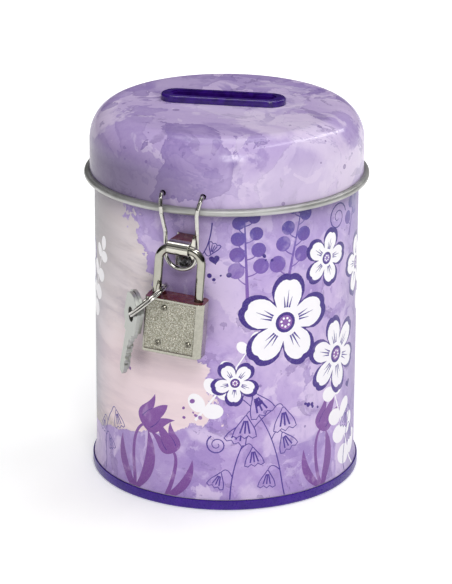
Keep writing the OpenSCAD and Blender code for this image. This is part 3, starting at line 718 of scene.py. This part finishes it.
def coin_branch(u, v, l, rot, bend=0.2, mat=WHITE, pri=20, n=6, size=3.6):
    """A stem with paired, nearly round leaves."""
    spine = bez((0, 0), (bend * l * 0.6, l * 0.45), (bend * l, l), 24)
    add(pri, mat, place(stroke(spine, 0.85, 0.3), u, v, rot))
    for i in range(n):
        t = 0.16 + 0.74 * i / (n - 1)
        x, y = spine[int(t * 24)]
        for side in (-1, 1):
            k = size * (1.15 - 0.5 * t)
            a = math.radians(90 - side * 58)
            cx, cy = x + 1.05 * k * math.cos(a), y + 1.05 * k * math.sin(a)
            add(pri + 1, mat, place(circle_pts(cx, cy, k, 20, 1.0, 0.78, a), u, v, rot))
    x, y = spine[-1]
    add(pri + 1, mat, place(circle_pts(x, y + size * 0.45, size * 0.62, 18, 0.8, 1.15), u, v, rot))


def outline_shape(poly_fn, u, v, rot, s, w, pri, fill=BG):
    """A closed shape drawn as a thin line: the same form twice, the inner one in the ground colour."""
    outer = poly_fn(1.0)
    cx = sum(p[0] for p in outer) / len(outer)
    cy = sum(p[1] for p in outer) / len(outer)
    ext = max(math.hypot(p[0] - cx, p[1] - cy) for p in outer) * s
    k = max(0.2, 1.0 - w / ext)
    inner = []
    n = len(outer)
    for i, (x, y) in enumerate(outer):
        a, b = outer[i - 1], outer[(i + 1) % n]
        dx, dy = b[0] - a[0], b[1] - a[1]
        l = math.hypot(dx, dy) or 1.0
        inner.append((x - dy / l * w / s, y + dx / l * w / s))
    add(pri, LINE, place(outer, u, v, rot, s))
    add(pri + 1, fill, place(inner, u, v, rot, s))


def bell(u, v, s, rot, pri=30, w=0.34):
    """A line-drawn bell flower on a thin stalk."""
    def body(_):
        pts = []
        for i in range(13):
            t = i / 12
            pts.append((0.5 * math.sin(math.pi * 0.5 * min(1.0, t * 1.25)) * (0.55 + 0.45 * t) + 0.06, -t))
        left = [(-x, y) for x, y in pts]
        lip = [(0.36, -1.10), (0.18, -0.98), (0.0, -1.12), (-0.18, -0.98), (-0.36, -1.10)]
        return (left + lip[::-1] + pts[::-1])
    outline_shape(body, u, v, rot, s, w, pri)
    for k in (-0.22, 0.0, 0.22):
        add(pri + 2, LINE, place(stroke([(k * 0.3, -0.25), (k * 0.7, -0.6), (k, -0.86)], 0.26 / s * 1.0, 0.10 / s), u, v, rot, s))


def bell_stem(u, v, l, rot, bend=0.3, pri=30, n=3, s=5.0):
    spine = bez((0, 0), (-bend * l * 0.2, l * 0.7), (bend * l, l), 22)
    add(pri, LINE, place(stroke(spine, 0.45, 0.30), u, v, rot))
    c, sn = math.cos(math.radians(rot)), math.sin(math.radians(rot))
    for i in range(n):
        t = 1.0 - 0.26 * i
        x, y = spine[int(t * 22)]
        side = 1 if i % 2 == 0 else -1
        ex, ey = x + side * s * 0.5, y + s * 0.15
        add(pri, LINE, place(stroke(bez((x, y), (x + side * s * 0.3, y + s * 0.5), (ex, ey), 8), 0.34, 0.28), u, v, rot))
        bell(u + ex * c - ey * sn, v + ex * sn + ey * c, s * (1.0 - 0.1 * i), rot + side * 14, pri + 3)


def swirl(u, v, s, rot, mat=LINE, pri=25, w=0.42, flip=False):
    pts = []
    for i in range(34):
        t = i / 33
        a = 3.6 * math.pi * t
        r = s * (1.0 - 0.86 * t)
        pts.append((r * math.cos(a) - s, r * math.sin(a)))
    add(pri, mat, place(stroke(pts, w, w * 0.45), u, v, rot, 1.0, flip))


def heart(u, v, s, rot, mat, pri=40):
    pts = []
    for i in range(28):
        t = 2 * math.pi * i / 28
        pts.append((16 * math.sin(t) ** 3 / 16.0, (13 * math.cos(t) - 5 * math.cos(2 * t) - 2 * math.cos(3 * t) - math.cos(4 * t)) / 16.0))
    add(pri, mat, place(pts, u, v, rot, s))


def splash(rng, u, v, spread, n, mat, pri=45, big=0.9):
    for _ in range(n):
        a, d = rng.uniform(0, 2 * math.pi), spread * rng.uniform(0.1, 1.0)
        r = rng.uniform(0.25, big)
        add(pri, mat, circle_pts(u + d * math.cos(a), v + d * math.sin(a), r, 10, 1.0, rng.uniform(0.7, 1.3), rng.uniform(0, 3)))


def U(deg):
    return CAN_R * math.radians(deg)


def tulip(u, v, h, rot, bend=0.2, mat=PURPLE, pri=10, head=9.0, blades=2):
    """A solid tulip on a curved stalk, with long strap leaves."""
    spine = bez((0, 0), (-bend * h * 0.25, h * 0.55), (bend * h * 0.5, h - head), 18)
    add(pri, mat, place(stroke(spine, 1.5, 0.9), u, v, rot))
    dx, dy = spine[-1][0] - spine[-3][0], spine[-1][1] - spine[-3][1]
    lean = math.degrees(math.atan2(-dx, dy))
    w = head * 0.40
    cup = (bez((0, 0), (w * 1.25, 0.0), (w * 1.05, head * 0.48), 8) + bez((w * 1.05, head * 0.48), (w * 0.95, head * 0.75), (w * 1.15, head * 1.0), 7)[1:]
           + bez((w * 1.15, head), (w * 0.70, head * 0.88), (w * 0.42, head * 0.66), 5)[1:]
           + bez((w * 0.42, head * 0.66), (w * 0.36, head * 0.95), (0, head * 1.12), 6)[1:])
    cup = cup + [(-x, y) for x, y in cup[-2:0:-1]]
    c, sn = math.cos(math.radians(rot)), math.sin(math.radians(rot))
    x, y = spine[-1]
    hx, hy = u + x * c - y * sn, v + x * sn + y * c
    add(pri + 1, mat, place(cup, hx, hy, rot + lean))
    for k in (-1, 1):
        ln = stroke(bez((k * w * 0.50, head * 0.18), (k * w * 0.62, head * 0.42), (k * w * 0.46, head * 0.62), 8), 0.30, 0.12)
        add(pri + 2, DARK, place(ln, hx, hy, rot + lean))
    for i in range(blades):
        side = 1 if i % 2 == 0 else -1
        k = h * (0.62 - 0.10 * i)
        mid = bez((side * 0.3, 0.5), (side * k * 0.42, k * 0.42), (side * k * 0.30, k), 16)
        add(pri - 1, mat, place(stroke(mid, 1.2, 0.1, 0.19 * k), u, v, rot))


def compose(off):
    """One run of the print's motifs, off degrees round the can."""
    rng = random.Random(int(off) + 11)
    # white, round-leaved branches behind the large blossoms
    coin_branch(U(off + 5), 30, 32, -26, 0.15, WHITE, 20, 4, 3.1)
    coin_branch(U(off + 92), 3, 46, 14, -0.18, WHITE, 22, 5, 4.1)
    coin_branch(U(off + 102), 52, 30, -16, 0.2, WHITE, 24, 4, 3.5)
    # large white blossoms, violet-edged
    blossom(U(off + 44), 62, 14.5, 12, 5, 60, 2.1)
    blossom(U(off + 74), 46, 12.0, 40, 6, 70, 1.9)
    blossom(U(off + 66), 80, 8.6, 0, 5, 80, 1.6)
    blossom(U(off + 96), 72, 9.6, 25, 5, 84, 1.7)
    blossom(U(off + 22), 43, 6.6, 50, 5, 66, 1.45)
    # solid tulips and berries
    tulip(U(off - 24), 2.5, 34, 4, 0.25, PURPLE, 10, 11.5, 2)
    tulip(U(off - 8), 2.5, 25, -16, -0.15, PURPLE, 13, 9.5, 1)
    tulip(U(off + 64), 2.5, 30, 10, 0.2, PURPLE, 16, 10.5, 2)
    berry_branch(U(off + 27), 70, 27, -10, -0.22, PURPLE, 14, 8, 2.6, 1.2)
    berry_branch(U(off + 44), 72, 27, -2, 0.16, PURPLE, 14, 7, 2.7, 1.2)
    berry_branch(U(off + 84), 84, 17, -8, 0.22, PURPLE, 15, 6, 2.2, 1.1)
    # line-drawn bell flowers
    bell_stem(U(off + 20), 3.5, 31, -8, 0.3, 30, 4, 7.6)
    bell_stem(U(off + 44), 3.5, 36, 10, -0.22, 33, 4, 8.0)
    bell_stem(U(off - 46), 3.5, 21, 8, 0.3, 36, 3, 5.6)
    bell_stem(U(off + 82), 3.5, 25, -8, 0.25, 39, 3, 6.4)
    bell_stem(U(off + 12), 96, 12, 172, 0.2, 39, 2, 4.2)
    swirl(U(off + 80), 93, 5.0, 10, LINE, 25, 0.55)
    swirl(U(off + 12), 25, 3.4, 120, LINE, 25, 0.5)
    heart(U(off + 13), 84, 1.7, 12, DARK)
    heart(U(off + 32), 36, 1.5, -14, DARK)
    heart(U(off + 86), 33, 1.6, 10, DARK)
    splash(rng, U(off + 14), 78, 4.0, 4, DARK, 45, 0.85)
    splash(rng, U(off + 5), 31, 5.5, 7, PURPLE, 45, 0.75)
    splash(rng, U(off - 30), 42, 5.0, 5, PURPLE, 45, 0.5)
    splash(rng, U(off + 58), 31, 3.5, 5, DARK, 45, 0.85)
    splash(rng, U(off + 34), 84, 3.0, 3, DARK, 45, 0.7)


compose(0.0)
compose(-170.0)


def clip_poly(poly, axis, lim, keep_above):
    out = []
    n = len(poly)
    for i in range(n):
        a, b = poly[i], poly[(i + 1) % n]
        ia = (a[axis] >= lim) if keep_above else (a[axis] <= lim)
        ib = (b[axis] >= lim) if keep_above else (b[axis] <= lim)
        if ia:
            out.append(a)
        if ia != ib:
            t = (lim - a[axis]) / (b[axis] - a[axis])
            p = (a[0] + t * (b[0] - a[0]), a[1] + t * (b[1] - a[1]))
            out.append((lim, p[1]) if axis == 0 else (p[0], lim))
    return out


def tidy(poly, eps=0.03):
    out = []
    for p in poly:
        if not out or math.hypot(p[0] - out[-1][0], p[1] - out[-1][1]) > eps:
            out.append(p)
    while len(out) > 2 and math.hypot(out[0][0] - out[-1][0], out[0][1] - out[-1][1]) <= eps:
        out.pop()
    return out


def build_can():
    t0 = SEAM - 2 * math.pi
    u_lo, u_hi = CAN_R * t0, CAN_R * SEAM
    verts, faces, kinds = [], [], []
    rows = [z for z, _ in FLARE] + [7.8 + (V1 - 7.8) * i / 36 for i in range(1, 37)]
    us = [u_lo + (u_hi - u_lo) * i / COLS for i in range(COLS + 1)]
    for z in rows:
        for u in us:
            verts.append((u, z))
    for pri, mat, poly in sorted(SHAPES, key=lambda s: s[0]):
        for base in (0.0, -2 * math.pi * CAN_R, 2 * math.pi * CAN_R):
            pl = [(x + base, y) for x, y in poly]
            if max(p[0] for p in pl) < u_lo + 1.6 or min(p[0] for p in pl) > u_hi - 1.6:
                continue
            pl = clip_poly(pl, 1, 3.47, True)
            pl = clip_poly(pl, 1, 98.6, False) if pl else pl
            pl = clip_poly(pl, 0, u_lo + 1.5, True) if pl else pl
            pl = clip_poly(pl, 0, u_hi - 1.5, False) if pl else pl
            pl = tidy(pl) if pl else pl
            if len(pl) < 3:
                continue
            turn = sum(pl[i][0] * pl[(i + 1) % len(pl)][1] - pl[(i + 1) % len(pl)][0] * pl[i][1] for i in range(len(pl)))
            if turn < 0:
                pl = pl[::-1]
            i0 = len(verts)
            verts += pl
            faces.append(list(range(i0, i0 + len(pl))))
            kinds.append((pri, mat))
    co, _, tris, _, _, src = delaunay_2d_cdt([Vector(v) for v in verts], [], faces, 0, 1e-5, True)
    bm = bmesh.new()
    vs = []
    for c in co:
        t = c[0] / CAN_R
        from_seam = abs(t - (t0 if t < (t0 + SEAM) / 2 else SEAM))
        r = wall_r(c[1], from_seam)
        vs.append(bm.verts.new((r * math.sin(t) * MM, -r * math.cos(t) * MM, c[1] * MM)))
    for f, s in zip(tris, src):
        pri, mat = max([kinds[i] for i in s], default=(0, BG))
        a, b, c = [co[i] for i in f]
        if abs((b[0] - a[0]) * (c[1] - a[1]) - (c[0] - a[0]) * (b[1] - a[1])) < 1e-12:
            continue
        try:
            face = bm.faces.new([vs[i] for i in f])
        except ValueError:
            continue
        face.material_index = mat
        face.normal_update()
        m = face.calc_center_median()
        if face.normal.x * m.x + face.normal.y * m.y < 0:
            face.normal_flip()
    thetas = [t0 + 2 * math.pi * i / COLS for i in range(COLS)]
    neck = [(CAN_R, V1), (42.45, 99.7), (42.3, 99.95), (41.85, 100.75), (41.4, 101.4), (41.1, 101.8), (41.0, 102.2), (41.0, 109.0), (41.0, 116.6)]
    bead = arc(40.4, 117.2, 0.6, 0, 270, 12)
    down = [(40.6, 116.6), (40.6, 109.0), (40.6, 102.1), (40.7, 101.6), (41.0, 101.2), (41.45, 100.5), (41.9, 99.8), (42.05, 99.45), (42.1, 99.1)]
    inner = [(42.1, 99.1 - (99.1 - 7.7) * i / 8) for i in range(1, 9)]
    foot = [(42.17, 6.5), (42.35, 5.3), (42.65, 4.2), (42.9, 3.4), (42.9, 0.55), (43.3, 0.55), (43.3, 3.4)]
    prof = neck + bead + down + inner + foot
    lathe_into(bm, prof, thetas, lambda i: BG if i < 2 else INSIDE, closed=False)
    bmesh.ops.remove_doubles(bm, verts=bm.verts, dist=2e-6)
    bmesh.ops.recalc_face_normals(bm, faces=bm.faces)
    me = bpy.data.meshes.new("can_wall_print")
    bm.to_mesh(me)
    bm.free()
    ob = finish_mesh("can_wall_print", me, "can", [M_CAN, M_INSIDE, M_PURPLE, M_WHITE, M_DARK, M_LINE], ("can_wall",), sharp=None)
    normals = []
    for lp in me.loops:
        v = me.vertices[lp.vertex_index].co
        normals.append((0.0, 0.0, 0.0))
    for p in me.polygons:
        c = p.center
        rr = math.hypot(c.x, c.y) / MM
        outer = 3.3 < c.z / MM < 99.45 and rr > 42.3 and p.normal.x * c.x + p.normal.y * c.y > 0
        for li in p.loop_indices:
            if outer:
                v = me.vertices[me.loops[li].vertex_index].co
                k = math.hypot(v.x, v.y)
                z = v.z / MM
                slope = 0.0
                if z < 7.8:
                    slope = (wall_r(max(3.4, z - 0.3), 9) - wall_r(min(7.8, z + 0.3), 9)) / 0.6
                n = Vector((v.x / k, v.y / k, slope)).normalized()
                normals[li] = (n.x, n.y, n.z)
            else:
                normals[li] = tuple(me.corner_normals[li].vector)
    me.normals_split_custom_set(normals)
    return ob


build_can()


# ------------------------------------------------------------------ base
def build_base():
    R = 43.75
    prof = [(0, 2.2), (14, 2.2), (27.4, 2.2), (28.2, 2.25), (29.0, 2.5), (29.4, 2.6), (36, 2.6), (42.2, 2.6), (42.4, 2.4),
            (42.4, 0.6), (42.5, 0.25), (42.7, 0.0), (43.3, 0.0), (43.55, 0.1), (43.7, 0.3), (43.75, 0.55),
            (43.75, 3.0), (43.68, 3.2), (43.5, 3.3), (43.38, 3.22), (43.35, 3.1), (43.35, 0.45), (42.85, 0.45),
            (42.85, 2.75), (42.7, 3.0), (36, 3.0), (29.3, 3.0), (28.8, 2.9), (28.0, 2.65), (27.3, 2.6), (14, 2.6), (0, 2.6)]
    bm = bmesh.new()
    thetas = [2 * math.pi * i / 192 for i in range(192)]
    lathe_into(bm, prof, thetas, lambda i: 0 if i < 22 else 1, closed=False)
    bmesh.ops.recalc_face_normals(bm, faces=bm.faces)
    me = bpy.data.meshes.new("base_end_seamed")
    bm.to_mesh(me)
    bm.free()
    return finish_mesh("base_end_seamed", me, "can", [M_LACQUER, M_INSIDE], ("base_end",), 40)


build_base()


# ------------------------------------------------------------------ lid
def build_lid():
    R, T, H, SW, SH = 44.0, 0.4, 122.0, 9.1, 11.1
    hx, hz, hr = 44.68, 99.9, 1.12
    cx, cz = R - SW, H - SH
    prof, mats = [], []

    def go(pts, mat):
        for p in pts:
            prof.append(p)
            mats.append(mat)
    # outside of the skirt and shoulder, from the hem up
    go([(R, 101.02), (R, 103.0), (R, 105.5), (R, 108.0)], 0)
    go([(cx + SW * math.cos(a), cz + SH * math.sin(a)) for a in [math.pi / 2 * i / 30 for i in range(31)]], 0)
    go([(30, H), (22, H), (12, H), (0, H)], 0)
    # inside
    go([(0, H - T), (12, H - T), (22, H - T), (30, H - T)], 2)
    go([(cx + (SW - T) * math.cos(a), cz + (SH - T) * math.sin(a)) for a in [math.pi / 2 * (1 - i / 20) for i in range(21)]], 2)
    go([(R - T, 106.0), (R - T, 102.0), (R - T, 100.2)], 2)
    # the curled hem
    go(arc(hx, hz, hr, 165, 262, 8)[1:], 1)
    go([(hx - 0.155, hz - 0.76)], 1)
    go(arc(hx, hz, 0.74, 250, -70, 18), 1)
    go([(hx + 0.30, hz - 1.06)], 1)
    go(arc(hx, hz, hr, -68, 124, 26), 1)
    bm = bmesh.new()
    thetas = [2 * math.pi * i / 240 for i in range(240)]
    lathe_into(bm, prof, thetas, lambda i: mats[i] if mats[i] == mats[(i + 1) % len(mats)] else max(mats[i], mats[(i + 1) % len(mats)]) if mats[i] else 0, closed=True)
    bmesh.ops.recalc_face_normals(bm, faces=bm.faces)
    me = bpy.data.meshes.new("lid_shell_print")
    bm.to_mesh(me)
    bm.free()
    ob = finish_mesh("lid_shell_print", me, "lid", [M_LID, M_HEM, M_INSIDE], ("lid_shell",), None)

    # the slot's cut-out and the two holes for the hasp
    cutters = []
    bm = bmesh.new()
    L, W = 36.4, 7.7
    ring = []
    for s, a0 in ((1, -90), (-1, 90)):
        for i in range(17):
            a = math.radians(a0 + 180 * i / 16)
            ring.append((s * (L - W) / 2 + W / 2 * math.cos(a), W / 2 * math.sin(a)))
    yaw = math.radians(8)
    pts = [(-2.2 + x * math.cos(yaw) - y * math.sin(yaw), 2.8 + x * math.sin(yaw) + y * math.cos(yaw)) for x, y in ring]
    lo = [bm.verts.new((x * MM, y * MM, 0.119)) for x, y in pts]
    hi = [bm.verts.new((x * MM, y * MM, 0.125)) for x, y in pts]
    n = len(pts)
    for i in range(n):
        bm.faces.new((lo[i], lo[(i + 1) % n], hi[(i + 1) % n], hi[i]))
    bm.faces.new(lo[::-1])
    bm.faces.new(hi)
    for s in (-1, 1):
        ring = [(s * 6.5 + 0.95 * math.cos(2 * math.pi * i / 20), 104.7 + 0.95 * math.sin(2 * math.pi * i / 20)) for i in range(20)]
        a = [bm.verts.new((x * MM, -0.046, z * MM)) for x, z in ring]
        b = [bm.verts.new((x * MM, -0.040, z * MM)) for x, z in ring]
        for i in range(20):
            bm.faces.new((a[i], a[(i + 1) % 20], b[(i + 1) % 20], b[i]))
        bm.faces.new(a[::-1])
        bm.faces.new(b)
    bmesh.ops.recalc_face_normals(bm, faces=bm.faces)
    cme = bpy.data.meshes.new("lid_cutter")
    bm.to_mesh(cme)
    bm.free()
    cut = bpy.data.objects.new("lid_cutter", cme)
    scene.collection.objects.link(cut)
    mod = ob.modifiers.new("cut", "BOOLEAN")
    mod.operation = "DIFFERENCE"
    mod.solver = "EXACT"
    mod.object = cut
    bpy.context.view_layer.update()
    dg = bpy.context.evaluated_depsgraph_get()
    new = bpy.data.meshes.new_from_object(ob.evaluated_get(dg))
    ob.modifiers.clear()
    ob.data = new
    bpy.data.objects.remove(cut)
    for p in new.polygons:
        p.use_smooth = True
    new.set_sharp_from_angle(angle=math.radians(35))
    return ob


build_lid()


# ------------------------------------------------------------------ CAD nodes keep their shape and get their finish
def dress(names, mat):
    for n in names:
        me = NODES[n].data
        me.materials.clear()
        me.materials.append(mat)


dress(["slot_insert"], M_PLASTIC)
dress(["staple_rivet"], M_RIVET)
dress(["staple_bracket"], M_STAPLE)
dress(["staple_washer", "hinge_can_leaf", "hinge_can_rivets", "hinge_pin",
       "hinge_lid_leaf", "hinge_lid_rivets"], M_PLATED)
dress(["wire_bail", "key_ring"], M_WIRE)
dress(["shackle"], M_SHACKLE)
dress(["padlock_rivets"], M_STUD)
dress(["padlock_case"], M_CASE)
dress(["padlock_front_plate"], M_PEBBLE)
dress(["shackle_spring", "latch_spring"], M_SPRING)
dress(["lock_plug", "latch_bolt"], M_BRASS)
dress(["key_1", "key_2"], M_KEY)


def coil_that_closes():
    """A copy of the latch's spring, carried with the case in place of the original."""
    src = NODES["latch_spring"]
    bpy.context.view_layer.update()
    me = src.data.copy()
    me.name = "latch_spring_coil"
    me.transform(src.matrix_world)
    ob = bpy.data.objects.new("latch_spring_coil", me)
    scene.collection.objects.link(ob)
    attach(ob, "case")
    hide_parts("latch_spring")
    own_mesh(ob)


coil_that_closes()


# ------------------------------------------------------------------ floor, light and camera
def floor():
    bm = bmesh.new()
    bmesh.ops.create_grid(bm, x_segments=8, y_segments=8, size=3.0)
    me = bpy.data.meshes.new("studio_floor")
    bm.to_mesh(me)
    bm.free()
    ob = bpy.data.objects.new("studio_floor", me)
    ob.location = (0, 0, -0.0002)
    scene.collection.objects.link(ob)
    m, nt, bsdf = new_mat("floor_pale")
    p = coords(nt, (10, 10, 10))
    c = mix(nt, noise(nt, p, 2.0, 3.0), (0.93, 0.93, 0.93, 1), (0.95, 0.95, 0.95, 1))
    nt.links.new(c, bsdf.inputs["Base Color"])
    bsdf.inputs["Emission Color"].default_value = (1, 1, 1, 1)
    r = nt.nodes.new("ShaderNodeVectorMath")
    r.operation = "LENGTH"
    nt.links.new(coords(nt, (1, 1, 1)), r.inputs[0])
    nt.links.new(step(nt, r.outputs["Value"], 0.055, 0.42, 0.32, 0.56), bsdf.inputs["Emission Strength"])
    bsdf.inputs["Roughness"].default_value = 0.9
    bsdf.inputs["Specular IOR Level"].default_value = 0.0
    me.materials.append(m)


floor()

world = bpy.data.worlds.new("studio")
scene.world = world
world.use_nodes = True
wn = world.node_tree
wn.nodes.clear()
wo = wn.nodes.new("ShaderNodeOutputWorld")
wb = wn.nodes.new("ShaderNodeBackground")
wn.links.new(wb.outputs[0], wo.inputs[0])
tc = wn.nodes.new("ShaderNodeTexCoord")
s = xyz(wn, tc.outputs["Generated"])
ramp = wn.nodes.new("ShaderNodeValToRGB")
ramp.color_ramp.interpolation = "EASE"
els = ramp.color_ramp.elements
stops = [(0.0, 0.55), (0.12, 0.20), (0.24, 0.16), (0.36, 0.75), (0.62, 0.95), (1.0, 1.0)]
while len(els) < len(stops):
    els.new(0.5)
for e, (pos, g) in zip(els, stops):
    e.position = pos
    e.color = (g, g, g, 1)
wn.links.new(s[2], ramp.inputs["Fac"])
side = math_(wn, "MULTIPLY", step(wn, s[0], -0.95, 0.55, 0.22, 1.05), step(wn, s[0], 0.97, 0.45, 0.30, 1.0))
back = step(wn, s[1], 0.55, -0.15, 0.45, 1.0)
wn.links.new(mix(wn, 1.0, ramp.outputs["Color"], math_(wn, "MULTIPLY", side, back), "MULTIPLY"), wb.inputs["Color"])
wb.inputs["Strength"].default_value = 0.48


def area(name, loc, target, size, power, size_y=None, color=(1, 1, 1)):
    li = bpy.data.lights.new(name, "AREA")
    li.energy = power
    li.size = size
    li.color = color
    if size_y:
        li.shape = "RECTANGLE"
        li.size_y = size_y
    ob = bpy.data.objects.new(name, li)
    scene.collection.objects.link(ob)
    ob.location = loc
    d = Vector(target) - Vector(loc)
    ob.rotation_euler = d.to_track_quat("-Z", "Y").to_euler()
    return ob


area("key_soft", (0.46, -1.07, 1.00), (0, 0, 0.06), 0.46, 7.9, 0.50)
area("fill_soft", (-0.55, -1.00, 0.55), (0, 0, 0.06), 0.7, 0.9, 0.8)
area("top_soft", (-0.12, 0.32, 1.22), (0, 0, 0.06), 0.66, 4.0)


def strip(name, a, b, width, power):
    """A long, narrow light from a to b, facing the lid."""
    a, b = Vector(a), Vector(b)
    mid = (a + b) / 2
    out = (Vector((0.02, -0.01, 0.115)) - mid).normalized()
    along = (b - a).normalized()
    out = (out - along * out.dot(along)).normalized()
    li = bpy.data.lights.new(name, "AREA")
    li.shape = "RECTANGLE"
    li.size = (b - a).length
    li.size_y = width
    li.energy = power
    ob = bpy.data.objects.new(name, li)
    scene.collection.objects.link(ob)
    z = -out
    y = z.cross(along)
    ob.matrix_world = Matrix(((along.x, y.x, z.x, mid.x), (along.y, y.y, z.y, mid.y), (along.z, y.z, z.z, mid.z), (0, 0, 0, 1)))
    return ob


strip("strip_right", (0.41, -0.23, 1.10), (0.57, 0.91, 0.53), 0.10, 3.2)

A = math.radians(17.9)
PITCH = math.radians(19.686)
ROLL = 0.0061
fwd_h = Vector((-math.sin(A), math.cos(A), 0))
fwd = fwd_h * math.cos(PITCH) + Vector((0, 0, -math.sin(PITCH)))
right = Vector((math.cos(A), math.sin(A), 0))
up = right.cross(fwd)
r2 = right * math.cos(ROLL) + up * math.sin(ROLL)
u2 = up * math.cos(ROLL) - right * math.sin(ROLL)
cam_data = bpy.data.cameras.new("camera")
cam = bpy.data.objects.new("camera", cam_data)
scene.collection.objects.link(cam)
m = Matrix((
    (r2.x, u2.x, -fwd.x, 0.9 * math.sin(A)),
    (r2.y, u2.y, -fwd.y, -0.9 * math.cos(A)),
    (r2.z, u2.z, -fwd.z, 0.38028),
    (0, 0, 0, 1)))
cam.matrix_world = m
cam_data.sensor_fit = "AUTO"
cam_data.sensor_width = 36.0
cam_data.lens = 2932.7 / 584.0 * 36.0
cam_data.clip_start = 0.01
cam_data.clip_end = 20.0
scene.camera = cam

scene.view_settings.view_transform = "Standard"
scene.view_settings.look = "None"
scene.view_settings.exposure = 0.0
scene.view_settings.gamma = 1.0
